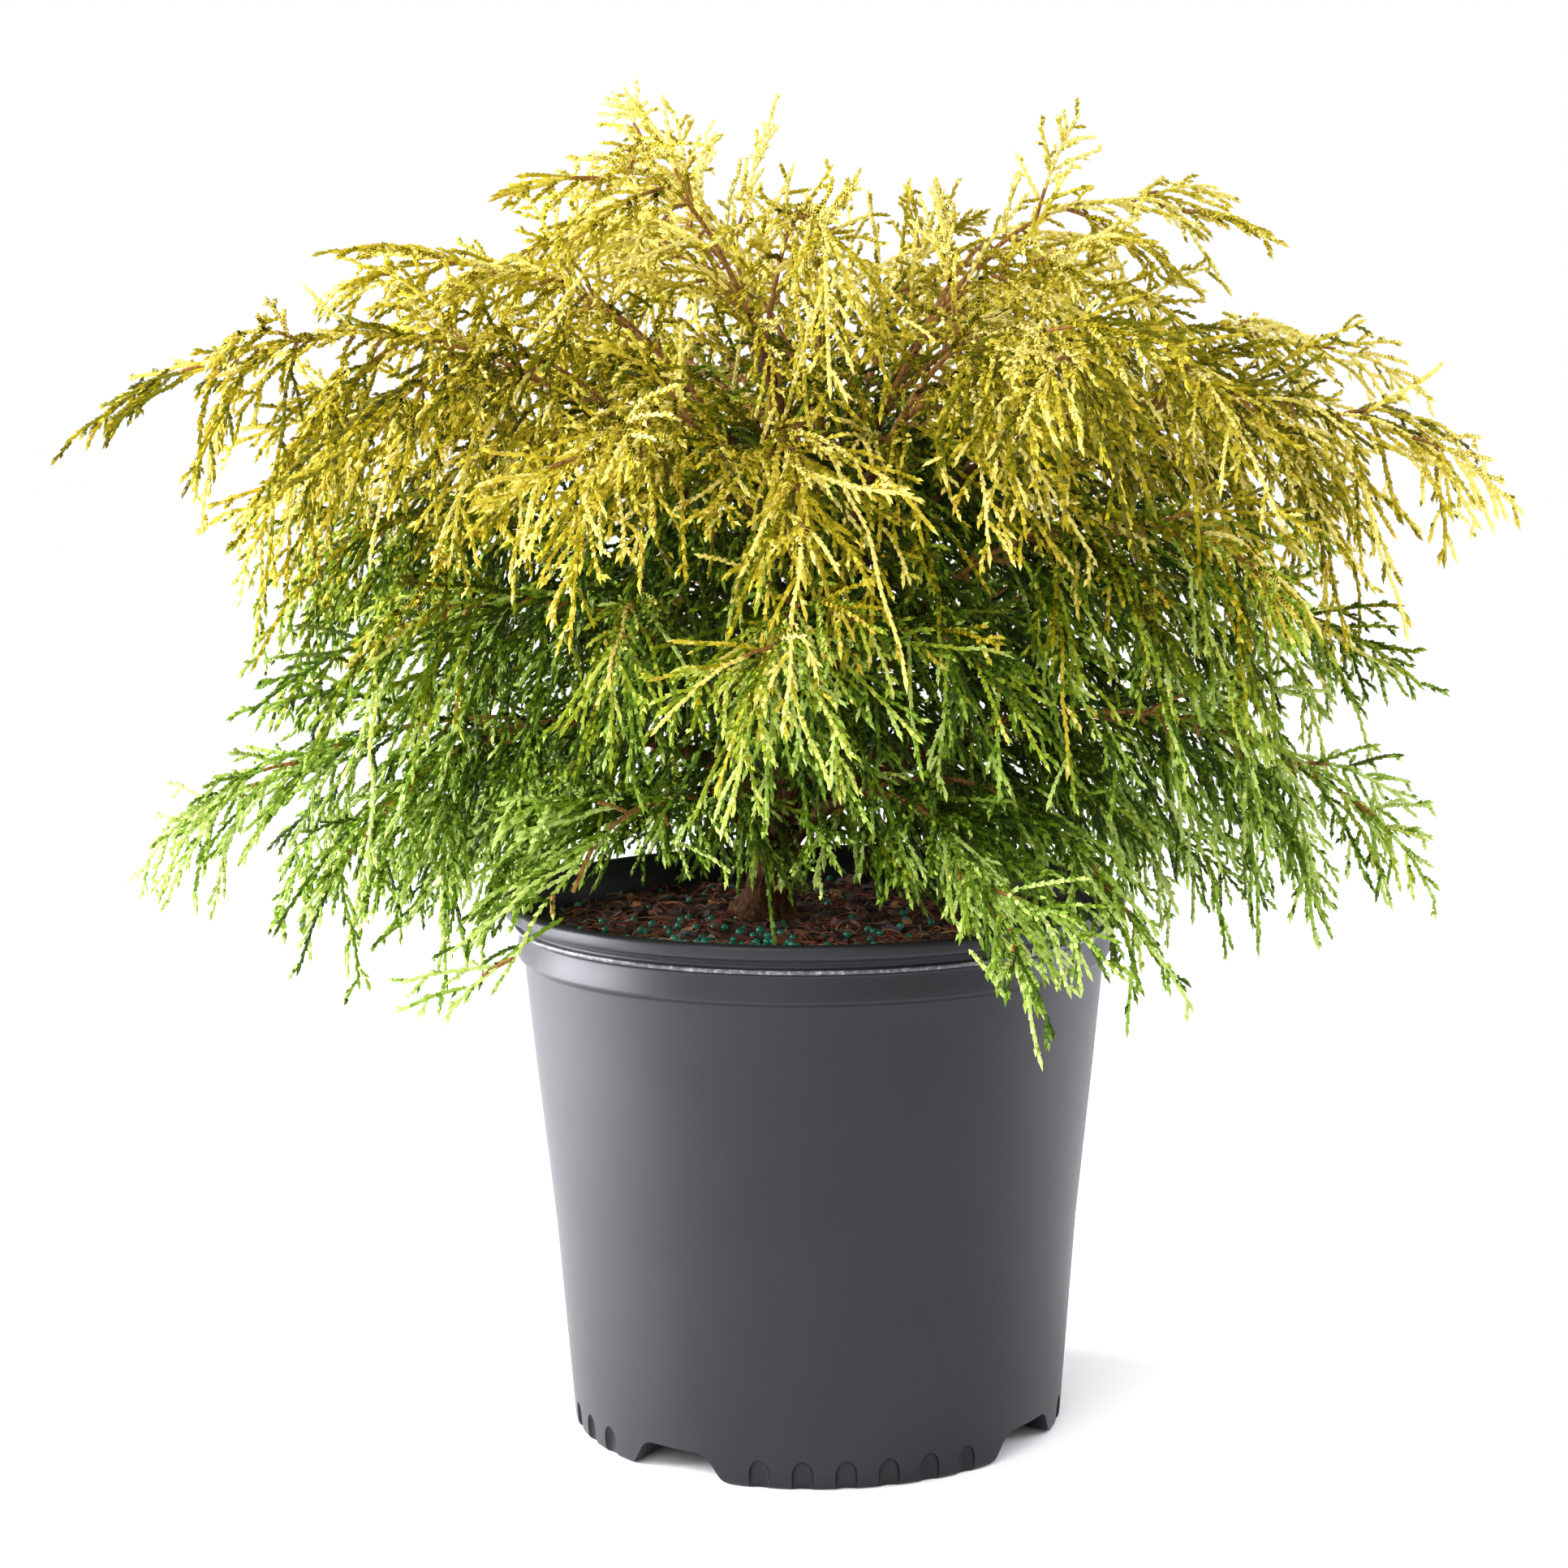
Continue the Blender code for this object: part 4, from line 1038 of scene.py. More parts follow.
needles = dict(
    seed=97,
    # radius at root and tip, and the distance from one whorl of scales to the next, by order
    radii=((1.32, 1.14), (1.18, 1.06), (1.08, 1.00)), pitch=(2.2, 2.0, 1.9),
    whorlLap=2.8, tipClose=0.88, tipBeyond=0.25,
    # Side threads of the first and the second order: their distance, where on the parent they begin and end,
    # their length as a share of its length and in millimetres, and how much shorter they get towards its tip
    spacing=(6.6, 4.1), first=(0.06, 0.22), last=(0.98, 0.96),
    share=(0.36, 0.30), longest=(38.0, 8.0), shortest=(6.0, 3.2), thinOut=(0.55, 0.30),
    lengths=((0.35, 1.30), (0.6, 1.3)),
    # How they leave the parent, turn back along it and hang, and how many of them are missing
    angle=(42.0, 45.0), angleJitter=(15.0, 14.0), lean=(28.0, 22.0), curl=(0.40, 0.35), droop=(0.22, 0.06),
    skip=(0.05, 0.16), placeScatter=(0.2, 0.8), angleSpread=0.6, leanSpread=0.7,
    # Points along a thread that have to keep this far from the pot, its soil and the trunk
    checkedAt=(0.35, 0.7, 1.0), clear=2.0,
    # A thread's waves: how far they swing, on threads of what length, and how soon after the root
    wiggle=1.0, fullSway=40.0, waveLength=38.0, waveFrom=6.0, widthScatter=(0.9, 1.1),
    # Sprays between those of the plan: how many to a limb, how they hang and how far along it they start
    between=dict(skirt=31, waist=31, shoulder=36, dome=28, top=18, leader=10),
    onLaterals=dict(skirt=22, waist=22, shoulder=30, dome=24), atBack=0.85, backFrom=100.0,
    betweenFrom=(0.05, 0.97), betweenTries=(1.0, 0.85, 0.7, 0.55, 0.42), betweenLength=(0.60, 1.08),
    betweenAngle=42.0, betweenSway=9.0, betweenTurn=20.0, betweenTilt=60.0,
    betweenDroop=dict(skirt=(-0.3, 1.6), waist=(-0.2, 1.9), shoulder=(-0.9, 2.1), dome=(-1.4, 2.0),
                      top=(-3.0, 3.0), leader=(-2.0, 4.0)),
    weep=dict(skirt=(0.1, 1.0), waist=(0.0, 1.0), shoulder=(0.0, 1.0), dome=(-0.1, 0.7),
              top=(-0.2, 0.3), leader=(-0.2, 0.3)),
    sideBend=0.16, sideFrom=0.13,
    # Core: sprays from the trunk itself, which arch up and over within the crown
    core=78, coreFrom=0.30, coreUp=0.75, coreTurn=15.0, coreRise=(5.0, 55.0), coreLength=(95.0, 150.0),
    coreDroop=(0.35, 0.9), coreFrontEvery=3, coreFront=(-150.0, -30.0), coreFrontRise=16.0,
    # A core spray is lowered by this slope until it ends in the crown; over this share it joins the dome
    coreLower=0.2, domeFrom=0.6,
    # By tier, how closely side threads point along their parent
    opening=dict(skirt=0.72, waist=0.78, shoulder=0.92, dome=1.0, top=1.0, leader=1.0),
    # One spray in so many hangs as a whip, a long thread with few side threads; a sprig may stand higher
    whipEvery=4, whipSparse=2.6, whipShort=0.45, whipDroop=1.5, sprigEvery=6, sprigAbove=24.0,
    # Over this height, the first and third spray in each five are left out
    thinAbove=500.0, thinEvery=5, thinned=(0, 2),
    # A limb's or branch's thread starts this share before its bare wood ends; a planned spray's starts
    # this far along it. Then how far a side shoot sags and how young the first threads are
    woodLap=0.06, branchLap=0.05, spineFrom=0.22, shootSag=0.16, axisYoung=0.35,
)
# The crown's outline: heights, and how far its sprays may reach there on the left and on the right
envelope = (
    (186.0, 150.0, 172.0), (200.0, 214.0, 232.0), (223.0, 256.0, 248.0), (255.0, 294.0, 260.0),
    (290.0, 276.0, 272.0), (334.0, 242.0, 266.0), (384.0, 272.0, 276.0), (413.0, 276.0, 298.0),
    (435.0, 292.0, 286.0), (455.0, 320.0, 280.0), (478.0, 296.0, 272.0), (509.0, 262.0, 242.0),
    (522.0, 226.0, 226.0), (542.0, 190.0, 165.0), (556.0, 135.0, 110.0), (568.0, 95.0, 60.0),
    (578.0, 60.0, 20.0),
)
# Sprays hang no lower than this; the front leaves the soil in view over that half width
lowest = dict(
    height=190.0, leftLift=23.0, leftOver=100.0, frontLift=42.0, frontRise=0.20, frontCentre=-25.0,
    frontHalf=118.0, frontSteep=1.6, frontLeast=0.1, frontOver=40.0, slack=9.0,
)
# A side branch from each limb fills the space up to the next limb of its tier
laterals = dict(
    forkAt=(0.22, 0.34), reach=0.90, withinReach=0.92, bendShare=0.56, bendUnder=14.0, tipDrop=(4.0, 30.0),
    short={("skirt", 7): (0.5, 6.0)}, azimuthJitter=4.0, woodTo=0.42, woodRadius=(1.4, 0.8),
)
# Three ranges of five tones, each from its palest to its darkest, picked by painted light and painted shade,
# then two odd ones
toneFrom = dict(gold=0, lime=5, green=10, amber=15, russet=16)
leafTones = (
    ("scaleLeafStraw", "#E0D274"), ("scaleLeafGold", "#BEAE36"), ("scaleLeafOldGold", "#92840E"),
    ("scaleLeafOlive", "#646104"), ("scaleLeafDarkOlive", "#464208"),
    ("scaleLeafPaleLime", "#BAC45C"), ("scaleLeafLime", "#909E2A"), ("scaleLeafMoss", "#6A780C"),
    ("scaleLeafDarkMoss", "#485204"), ("scaleLeafShadeMoss", "#38420C"),
    ("scaleLeafPaleGreen", "#ABBE66"), ("scaleLeafFreshGreen", "#829C38"), ("scaleLeafMidGreen", "#597414"),
    ("scaleLeafDeepGreen", "#364C08"), ("scaleLeafShadeGreen", "#2C3C0E"),
    ("scaleLeafAmber", "#AE9430"), ("scaleLeafRusset", "#7A5E28"),
)


def reachAt(point):
    # How far out the crown goes at that height, between its left and its right
    if point.z > envelope[-1][0]:
        return 0.0
    heights, lefts, rights = zip(*envelope)
    radius = math.hypot(point.x, point.y)
    share = 0.5 + 0.5 * point.x / max(radius, 1.0)
    return (1.0 - share) * np.interp(point.z, heights, lefts) + share * np.interp(point.z, heights, rights)


def lowestAt(x, y):
    aside = (x - lowest["frontCentre"]) / lowest["frontHalf"]
    middle = np.clip(lowest["frontSteep"] * (1.0 - aside ** 2), lowest["frontLeast"], 1.0)
    front = np.clip(-y / lowest["frontOver"], 0.0, 1.0)
    lift = lowest["leftLift"] * np.clip(-x / lowest["leftOver"], 0.0, 1.0)
    return lowest["height"] + lift + middle * front * (lowest["frontLift"] - lowest["frontRise"] * y)


def aboveLowest(point):
    return point.z > lowestAt(point.x, point.y)


def unit(vectors):
    return vectors / np.maximum(np.linalg.norm(vectors, axis=1, keepdims=True), 1e-9)


def planLaterals(limbs, rng):
    branches = []
    for number, limb in enumerate(limbs):
        if limb["tier"] not in needles["onLaterals"]:
            continue
        turn = 180.0 / tiers[limb["tier"]]["count"] + jitter(rng, laterals["azimuthJitter"])
        angle = math.atan2(limb["tip"].y, limb["tip"].x) + math.radians(turn)
        outward = Vector((math.cos(angle), math.sin(angle), 0.0))
        start = curveAt(limb["start"], limb["bend"], limb["tip"], rng.uniform(*laterals["forkAt"]))
        shorter, lift = laterals["short"].get((limb["tier"], limb["number"]), (1.0, 0.0))
        reach = math.hypot(limb["tip"].x, limb["tip"].y) * laterals["reach"] * shorter
        tip = outward * reach
        tip.z = limb["tip"].z + lift - rng.uniform(*laterals["tipDrop"])
        reach = min(reach, laterals["withinReach"] * reachAt(tip))
        tip.x, tip.y = outward.x * reach, outward.y * reach
        bend = start.lerp(tip, laterals["bendShare"])
        bend.z = limb["bend"].z - laterals["bendUnder"]
        branches.append(dict(limb, start=start, bend=bend, tip=tip, bough=0.0, sprays=[], limb=number))
    return branches


def spraysBetween(limb, count, rng):
    # More sprays on the same limb by the same rule, where they stay inside the crown's outline
    size = tiers[limb["tier"]]
    stem = limbPath(limb, limb["bough"], 1.0, 9)
    length = sum((high - low).length for low, high in zip(stem, stem[1:]))
    first, last = needles["betweenFrom"]
    sprays = []
    for index in range(count):
        share = (index + rng.random()) / count
        place = first + (last - first) * share
        root, onward = limbPath(limb, place, place + 0.02, 2)
        tangent = (onward - root).normalized()
        side = sideOf(tangent)
        up = side.cross(tangent)
        angle = math.radians(needles["betweenAngle"] + rng.gauss(0.0, needles["betweenSway"]))
        roll = math.radians(growth["sprayRoll"] * index + jitter(rng, needles["betweenTurn"]))
        roll += limb["number"]
        aside = side * math.cos(roll) + up * math.sin(roll)
        direction = tangent * math.cos(angle) + aside * math.sin(angle)
        direction.z -= rng.uniform(*needles["weep"][limb["tier"]])
        direction.normalize()
        reach = length * size["spread"] * (1.0 - growth["sprayShortening"] * share)
        reach *= rng.uniform(*needles["betweenLength"])
        whip = index % needles["whipEvery"] == 2
        droop = size["droop"] * rng.uniform(*needles["betweenDroop"][limb["tier"]])
        droop *= needles["whipDroop"] if whip else 1.0
        sideways = direction.cross(Vector((0.0, 0.0, 1.0))) * rng.gauss(0.0, needles["sideBend"])
        above = Vector((0.0, 0.0, needles["sprigAbove"] if index % needles["sprigEvery"] == 1 else 0.0))
        for shorter in needles["betweenTries"]:
            span = reach * shorter
            bend = (sideways - Vector((0.0, 0.0, droop))) * span
            tip = root + direction * span + bend
            if tip.z > needles["thinAbove"] and index % needles["thinEvery"] in needles["thinned"]:
                break
            if math.hypot(tip.x, tip.y) < reachAt(tip - above) and clearOfPot(tip) and aboveLowest(tip):
                tilt = math.radians(jitter(rng, needles["betweenTilt"]))
                normal = facingFrames([root, root.lerp(tip, 0.5), tip], tilt)[1][2]
                sprays.append((root, direction * span, bend, normal, whip))
                break
    return sprays


def coreSprays(limbs, rng):
    # From the trunk between its limbs, each counted with the dome or waist limb that it grows beside
    sprays = []
    low, high = trunk["path"][0][2], trunk["path"][-1][2]
    for index in range(needles["core"]):
        share = ((index + rng.random()) / needles["core"]) ** needles["coreUp"]
        share = needles["coreFrom"] + (1.0 - needles["coreFrom"]) * share
        axis, _ = trunkAt(low + share * (high - low))
        angle = growth["sprayRoll"] * index + jitter(rng, needles["coreTurn"])
        toFront = index % needles["coreFrontEvery"] == 0
        if toFront:
            angle = rng.uniform(*needles["coreFront"])
        rise = math.radians(rng.uniform(*needles["coreRise"]) + needles["coreFrontRise"] * toFront)
        outward = Vector((math.cos(math.radians(angle)), math.sin(math.radians(angle)), 0.0))
        direction = outward * math.cos(rise) + Vector((0.0, 0.0, math.sin(rise)))
        span = rng.uniform(*needles["coreLength"])
        bend = Vector((0.0, 0.0, -span * rng.uniform(*needles["coreDroop"])))
        tip = axis + direction * span + bend
        while math.hypot(tip.x, tip.y) > reachAt(tip):
            direction.z -= needles["coreLower"]
            tip = axis + direction * span + bend
        tilt = math.radians(jitter(rng, needles["betweenTilt"]))
        normal = facingFrames([axis, axis.lerp(tip, 0.5), tip], tilt)[1][2]
        tier = "dome" if share > needles["domeFrom"] else "waist"
        beside = min((number for number, limb in enumerate(limbs) if limb["tier"] == tier),
                     key=lambda number: (limbs[number]["tip"].to_2d().normalized() - outward.to_2d()).length)
        sprays.append((axis, direction * span, bend, normal, False, beside))
    return sprays


def axesOf(limbs, branches):
    # First-order threads: the outer part of each stem, each spray's spine and its long side shoots
    rng = random.Random(needles["seed"])
    rows = []
    sprayCount = 0
    for number, limb in [*enumerate(limbs), *((branch["limb"], branch) for branch in branches)]:
        isBranch = "limb" in limb
        first = limb["bough"] + (1.0 - limb["bough"]) * (bark["stemBare"] - needles["woodLap"])
        if isBranch:
            first = laterals["woodTo"] - needles["branchLap"]
        count = needles["onLaterals" if isBranch else "between"][limb["tier"]]
        count = round(count * (needles["atBack"] if limb["tip"].y > needles["backFrom"] else 1.0))
        # The rest of the limb's own curve, as a root, a straight run and a bend
        root, middle, tip = limbPath(limb, first, 1.0, 3)
        curve = 2.0 * (root - 2.0 * middle + tip)
        out = (middle - Vector(growth["crownMiddle"])).normalized()
        side = (tip - root).cross(out).normalized()
        normal = side.cross(tip - root).normalized()
        rows.append((root, tip - root - curve, curve, normal, False, number, sprayCount, 0.0, 0.0))
        sprayCount += 1
        for spray in limb["sprays"]:
            root, normal, along = spray["root"], spray["normal"], spray["direction"] * spray["span"]
            drop = Vector((0.0, 0.0, -spray["droop"] * spray["span"]))
            while not aboveLowest(root + along + drop) and along.length > growth["shortest"]:
                along, drop = 0.9 * along, 0.9 * drop
            first = needles["spineFrom"]
            rows.append((root, along, drop, normal, False, number, sprayCount, first, first))
            for root, tip in spray["shoots"]:
                sag = Vector((0.0, 0.0, -needles["shootSag"] * (tip - root).length))
                if aboveLowest(tip):
                    rows.append((root, tip - root - sag, sag, normal, False, number, sprayCount, 0.0, 0.0))
            sprayCount += 1
        for spray in spraysBetween(limb, count, rng):
            rows.append((*spray, number, sprayCount, 0.0, needles["sideFrom"]))
            sprayCount += 1
    for *spray, beside in coreSprays(limbs, rng):
        rows.append((*spray, beside, sprayCount, 0.0, needles["sideFrom"]))
        sprayCount += 1
    names = ("root", "along", "curve", "normal", "whip", "limb", "spray", "start", "sideFrom")
    threads = {name: np.array(column) for name, column in zip(names, zip(*rows))}
    threads["length"] = np.linalg.norm(threads["along"] + threads["curve"], axis=1)
    threads["order"] = np.zeros(len(rows), int)
    threads["young"] = np.full(len(rows), needles["axisYoung"])
    return threads, sprayCount


def sideThreads(parents, order, openings, rng):
    # Threads to each side in turn along every parent, in its flat plane, shorter towards its tip
    rule = {key: needles[key][order] for key in (
        "spacing", "first", "last", "share", "longest", "shortest", "thinOut", "angle", "angleJitter",
        "lean", "curl", "droop", "skip", "lengths")}
    room = parents["length"] * (rule["last"] - rule["first"])
    spacing = rule["spacing"] * np.where(parents["whip"], needles["whipSparse"], 1.0)
    count = np.maximum(np.floor(room / spacing).astype(int), 0)
    parent = np.repeat(np.arange(len(count)), count)
    place = np.concatenate([np.arange(n) for n in count]) if len(count) else np.zeros(0)
    total = len(parent)
    step = (place + rng.uniform(*needles["placeScatter"], total)) / np.maximum(count[parent], 1)
    share = (rule["first"] + (rule["last"] - rule["first"]) * step)[:, None]
    tangent = unit(parents["along"][parent] + 2.0 * share * parents["curve"][parent])
    root = parents["root"][parent] + share * parents["along"][parent] + share ** 2 * parents["curve"][parent]
    side = unit(np.cross(parents["normal"][parent], tangent))
    normal = np.cross(tangent, side)
    sign = np.where((place + parent) % 2 == 0, 1.0, -1.0)[:, None]
    angle = rule["angle"] + rule["angleJitter"] * rng.normal(0.0, needles["angleSpread"], total)
    angle = np.radians(angle * openings[parents["limb"][parent]])[:, None]
    lean = np.radians(rule["lean"] * rng.normal(0.0, needles["leanSpread"], total))[:, None]
    direction = unit(tangent * np.cos(angle) + sign * side * np.sin(angle) + normal * np.sin(lean))
    reach = rule["share"] * parents["length"][parent] * (1.0 - rule["thinOut"] * share[:, 0])
    reach = np.clip(reach, rule["shortest"], rule["longest"]) * rng.uniform(*rule["lengths"], total)
    reach *= np.where(parents["whip"][parent], needles["whipShort"], 1.0)
    grow = (rng.random(total) > rule["skip"]) & (step > parents["sideFrom"][parent])
    reach = reach[:, None]
    sag = np.zeros((total, 3))
    sag[:, 2] = -rule["droop"]
    threads = dict(
        root=root, along=direction * reach,
        curve=reach * (0.5 * rule["curl"] * (tangent - direction) + sag),
        normal=normal, limb=parents["limb"][parent], spray=parents["spray"][parent],
        start=np.zeros(total), length=reach[:, 0], order=np.full(total, order + 1),
        whip=np.zeros(total, bool), sideFrom=np.zeros(total),
        young=0.5 * parents["young"][parent] + 0.5 * share[:, 0],
    )
    return {key: value[grow] for key, value in threads.items()}


def keepClear(threads):
    # Drops a thread that would run into the pot, its soil or the trunk
    keep = np.ones(len(threads["length"]), bool)
    height, clear = pot["height"], needles["clear"]
    inside = insideRadius(mix["top"]) - clear
    trunkLine = np.array(trunk["path"])
    for share in needles["checkedAt"]:
        point = threads["root"] + share * threads["along"] + share ** 2 * threads["curve"]
        radius = np.hypot(point[:, 0], point[:, 1])
        above = (point[:, 2] > height + clear) | (radius > pot["lipRadius"] + clear)
        overSoil = (point[:, 2] > mix["top"] + clear) & (radius < inside)
        axis = np.stack([np.interp(point[:, 2], trunkLine[:, 2], trunkLine[:, k]) for k in (0, 1)], 1)
        wood = np.interp(point[:, 2], trunkLine[:, 2], np.array(trunk["radii"]))
        offTrunk = (np.hypot(point[:, 0] - axis[:, 0], point[:, 1] - axis[:, 1]) > wood + clear) | (
            point[:, 2] > trunkLine[-1, 2])
        high = point[:, 2] > lowestAt(point[:, 0], point[:, 1]) - lowest["slack"]
        keep &= (above | overSoil) & offTrunk & high
    return {key: value[keep] for key, value in threads.items()}


def joinThreads(groups):
    return {key: np.concatenate([group[key] for group in groups]) for key in groups[0]}


goldAndPaintedLight = dict(
    # By tier: the height where gold begins, and how much further up it is full
    skirt=(290.0, 220.0), waist=(272.0, 212.0), shoulder=(262.0, 170.0), dome=(260.0, 152.0),
    top=(260.0, 150.0), leader=(260.0, 150.0),
    shellIn=0.38, shellOver=0.44, inside=0.12, youth=0.42, perSpray=0.12, perThread=0.11, perWhorl=0.02,
    ranges=(0.60, 0.34), axisWarmer=0.14,
    # The crown's half width and half depth, and its height over and under its middle
    halfSizes=(270.0, 246.0, 240.0, 150.0),
    # Lightness, from painted shade within the crown to painted light on its skin, what scatters it, and where
    # one tone gives way to the next
    inner=0.29, skinPaintedLight=0.39, tips=0.26, sprayScatter=0.12, threadScatter=0.15, whorlScatter=0.06,
    levels=(0.85, 0.69, 0.54, 0.37), axisLighter=0.07, sprayLimits=(-2.0, 1.2),
    # How young a whorl is, by its thread's order and by its place along it
    youngByOrder=0.6, youngByPlace=0.4, youngMiddle=0.5,
    # The left is greener under the first heights and darker, as painted shade, from the next, and the right a
    # little darker as painted shade
    leftOver=(0.0, 240.0), leftGreener=0.16, greenUnder=(380.0, 470.0), leftPaintedShade=0.09,
    leftFrom=(280.0, 320.0), rightOver=(0.0, 140.0), rightPaintedShade=0.06,
    # Painted light: no dark sprigs against the sky, and paler at the far ends, over the top and low down
    # within
    topLeastPaintedLight=0.60, topFrom=(430.0, 510.0), topPaintedLight=0.16, topLightFrom=(470.0, 560.0),
    endsPaintedLight=0.16, endsFrom=(200.0, 275.0), lowPaintedLight=0.15, lowUnder=(330.0, 500.0), lowInside=0.8,
    # Amber tips among the gold, and russet where a spray comes out of its wood
    amber=0.12, amberFrom=0.80, amberUnder=0.8, russetTo=0.12,
)


def fade(values, span):
    # From 0 where the span begins to 1 where it ends
    return np.interp(values, span, (0.0, 1.0))


def chooseTones(threads, thread, point, share, bases, chances, rng):
    # Gold where the crown meets the sun, green lower down; painted shade within and painted light on the
    # skin; young tips run ahead
    x, z = point[:, 0], point[:, 2]
    offset = point - np.array(growth["crownMiddle"])
    wide, deep, over, under = goldAndPaintedLight["halfSizes"]
    tall = np.where(offset[:, 2] > 0.0, over, under)
    shell = np.sqrt((offset[:, 0] / wide) ** 2 + (offset[:, 1] / deep) ** 2 + (offset[:, 2] / tall) ** 2)
    outer = np.clip((shell - goldAndPaintedLight["shellIn"]) / goldAndPaintedLight["shellOver"], 0.0, 1.0)
    base = bases[threads["limb"][thread]]
    high = np.clip((z - base[:, 0]) / base[:, 1], 0.0, 1.0)
    young = goldAndPaintedLight["youngByOrder"] * threads["young"][thread] + goldAndPaintedLight["youngByPlace"] * share
    young -= goldAndPaintedLight["youngMiddle"]
    axis = threads["order"][thread] == 0
    ofSpray = np.clip(chances[threads["spray"][thread]], *goldAndPaintedLight["sprayLimits"])
    ofThread = rng.normal(0.0, 1.0, (len(threads["length"]), 2))[thread]
    ofWhorl = rng.normal(0.0, 1.0, (len(point), 2))
    leftward, rightward = fade(-x, goldAndPaintedLight["leftOver"]), fade(x, goldAndPaintedLight["rightOver"])
    low = 1.0 - fade(z, goldAndPaintedLight["lowUnder"])

    gold = high * (goldAndPaintedLight["inside"] + (1.0 - goldAndPaintedLight["inside"]) * outer + goldAndPaintedLight["youth"] * young)
    gold += goldAndPaintedLight["perSpray"] * ofSpray[:, 0] + goldAndPaintedLight["perThread"] * ofThread[:, 0]
    gold += goldAndPaintedLight["perWhorl"] * ofWhorl[:, 0] + goldAndPaintedLight["axisWarmer"] * axis
    gold -= goldAndPaintedLight["leftGreener"] * leftward * (1.0 - fade(z, goldAndPaintedLight["greenUnder"]))
    warm, mixed = goldAndPaintedLight["ranges"]
    tones = np.select([gold > warm, gold > mixed], [toneFrom["gold"], toneFrom["lime"]], toneFrom["green"])

    # light is painted light and painted shade: paler towards the crown's skin, darker within it
    light = goldAndPaintedLight["inner"] + goldAndPaintedLight["skinPaintedLight"] * outer + goldAndPaintedLight["tips"] * young
    light += goldAndPaintedLight["axisLighter"] * axis + goldAndPaintedLight["sprayScatter"] * ofSpray[:, 1]
    light += goldAndPaintedLight["threadScatter"] * ofThread[:, 1] + goldAndPaintedLight["whorlScatter"] * ofWhorl[:, 1]
    # Painted shade: darker on the left from its heights, and a little darker on the right
    light -= goldAndPaintedLight["leftPaintedShade"] * leftward * fade(z, goldAndPaintedLight["leftFrom"])
    light -= goldAndPaintedLight["rightPaintedShade"] * rightward
    # Painted light at the far ends, over the top and low down within, and a least lightness so that no sprig
    # turns dark against the sky
    light += goldAndPaintedLight["endsPaintedLight"] * fade(np.abs(x), goldAndPaintedLight["endsFrom"])
    light += goldAndPaintedLight["topPaintedLight"] * fade(z, goldAndPaintedLight["topLightFrom"])
    light += goldAndPaintedLight["lowPaintedLight"] * low * (1.0 - goldAndPaintedLight["lowInside"] * outer)
    light = np.maximum(light, goldAndPaintedLight["topLeastPaintedLight"] * fade(z, goldAndPaintedLight["topFrom"]) * outer ** 2)
    for level in goldAndPaintedLight["levels"]:
        tones += light < level
    odd = rng.random(len(threads["length"]))[thread] < goldAndPaintedLight["amber"]
    odd &= (gold > warm) & (share > goldAndPaintedLight["amberFrom"]) & (light < goldAndPaintedLight["amberUnder"])
    tones[odd] = toneFrom["amber"]
    bare = axis & (share < goldAndPaintedLight["russetTo"]) & (threads["sideFrom"][thread] > 0.0)
    tones[bare] = toneFrom["russet"]
    return tones


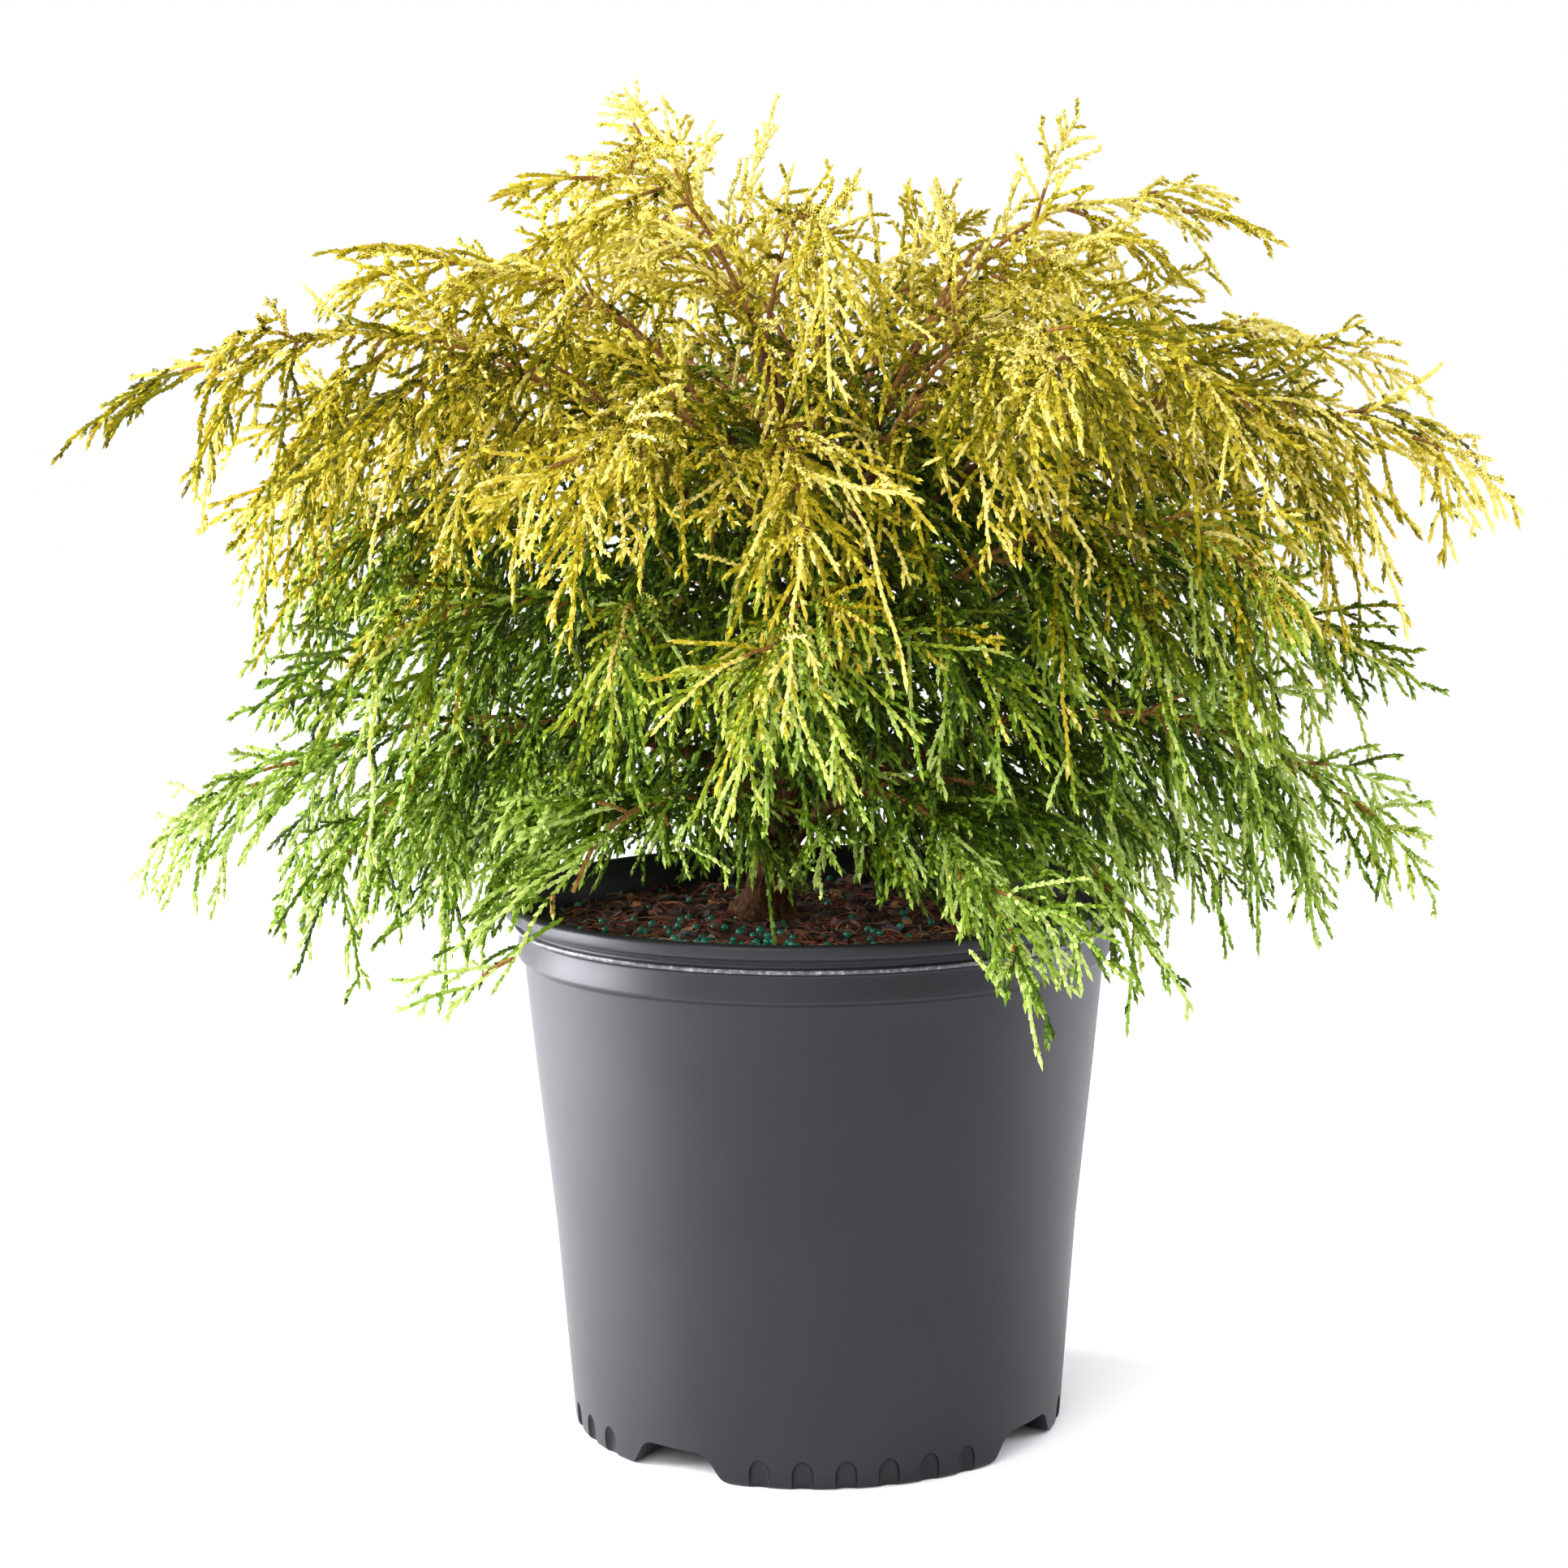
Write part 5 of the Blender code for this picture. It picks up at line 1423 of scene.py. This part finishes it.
def whorlMesh(name, threads, bases, chances, rng):
    # Each whorl of scales is a three-sided cup that stands deep in the one before, turned by half a side;
    # its three corners are the scales' tips. The last one of a thread is turned over and closes it
    lengths = threads["length"] * (1.0 - threads["start"])
    pitch = np.array(needles["pitch"])[threads["order"]]
    count = np.maximum(np.round(lengths / pitch).astype(int), 2)
    thread = np.repeat(np.arange(len(count)), count)
    place = np.concatenate([np.arange(n) for n in count])
    number = count[thread].astype(float)
    begin = threads["start"][thread]
    last = place == count[thread] - 1
    rimShare = np.where(last, place, place + 1) / number
    nested = np.maximum(place + 1 - needles["whorlLap"], 0.0)
    apexShare = np.where(last, number + needles["tipBeyond"], nested) / number
    share = begin + (1.0 - begin) * rimShare
    root, along, curve = (threads[key][thread] for key in ("root", "along", "curve"))
    phase = rng.uniform(0.0, 2.0 * math.pi, len(count))[thread]
    sway = needles["wiggle"] * np.minimum(threads["length"] / needles["fullSway"], 1.0)[thread]
    waves = (threads["length"] / needles["waveLength"])[thread]

    def centreAt(s):
        base = root + s[:, None] * along + (s ** 2)[:, None] * curve
        wave = sway * np.sin(2.0 * math.pi * waves * s + phase) * np.minimum(s * needles["waveFrom"], 1.0)
        return base + wave[:, None] * threads["normal"][thread]

    rim, apex = centreAt(share), centreAt(begin + (1.0 - begin) * apexShare)
    last = last[:, None]
    tangent = unit(np.where(last, apex - rim, rim - apex))
    side = unit(np.cross(threads["normal"][thread], tangent))
    up = np.cross(tangent, side)
    widths = np.array(needles["radii"])[threads["order"]][thread]
    radius = widths[:, 0] + (widths[:, 1] - widths[:, 0]) * share
    radius = radius * rng.uniform(*needles["widthScatter"], len(radius))
    radius = radius[:, None] * np.where(last, needles["tipClose"], 1.0)
    turn = phase + (place % 2) * math.pi / 3.0
    points = np.empty((len(thread), 4, 3), np.float32)
    points[:, 0] = apex
    for corner in range(3):
        angle = (turn + 2.0 * math.pi * corner / 3.0)[:, None] * np.where(last, -1.0, 1.0)
        points[:, 1 + corner] = rim + radius * (np.cos(angle) * side + np.sin(angle) * up)
    pattern = np.array([(0, 2, 1), (0, 3, 2), (0, 1, 3)])
    faces = (pattern[None] + 4 * np.arange(len(thread))[:, None, None]).reshape(-1, 3)
    tones = chooseTones(threads, thread, rim, share, bases, chances, rng)
    return meshFromArrays(name, points.reshape(-1, 3), faces, np.repeat(tones, 3))


def buildFoliage(limbs, branches):
    rng = np.random.default_rng(needles["seed"])
    axes, sprayCount = axesOf(limbs, branches)
    openings = np.array([needles["opening"][limb["tier"]] for limb in limbs])
    second = keepClear(sideThreads(axes, 0, openings, rng))
    groups = [axes, second]
    groups.append(keepClear(sideThreads(second, 1, openings, rng)))
    threads = joinThreads(groups)
    bases = np.array([goldAndPaintedLight[limb["tier"]] for limb in limbs])
    chances = rng.normal(0.0, 1.0, (sprayCount, 2))
    # Living scale leaves: waxy and a little glossy, each tone plain so that it stays with its spray
    finishes = [newFinish(name, colour, 0.5, 1.45, 0.1)[0] for name, colour in leafTones]
    # Limbs of a tier joined into each piece, which stays under the export's limit
    parts = dict(
        skirtSpraysFront=(1, 2, 7), skirtSpraysBack=(3, 4, 5, 6),
        waistSpraysFront=(1, 2, 7), waistSpraysBack=(3, 4, 5, 6),
        shoulderSpraysFront=(1, 2, 8), shoulderSpraysRight=(3, 4, 5), shoulderSpraysBack=(6, 7),
        domeSpraysRight=(1, 2, 3), domeSpraysLeft=(4, 5, 6), topSprays=(1, 2, 3), leaderSprays=(1,),
    )
    total = 0
    for name, numbers in parts.items():
        tier = name.split("Sprays")[0]
        chosen = [index for index, limb in enumerate(limbs)
                  if limb["tier"] == tier and limb["number"] in numbers]
        mine = np.isin(threads["limb"], chosen)
        own = {key: value[mine] for key, value in threads.items()}
        mesh = whorlMesh(name, own, bases, chances, rng)
        total += len(mesh.polygons)
        print(" ", name, len(own["length"]), "threads", len(mesh.polygons), "faces")
        nodes = [nodeName(limbs[index], "foliage") for index in chosen]
        placePiece(name, mesh, finishes, nodes)
    metres = round(threads["length"].sum() * mm)
    print("foliage:", len(threads["length"]), "threads,", metres, "m,", total, "faces")


buildStudio()
buildPot()
buildMix()
limbs = planCrown()
branches = planLaterals(limbs, random.Random(needles["seed"] + 1))
buildWood(limbs, branches)
buildFoliage(limbs, branches)
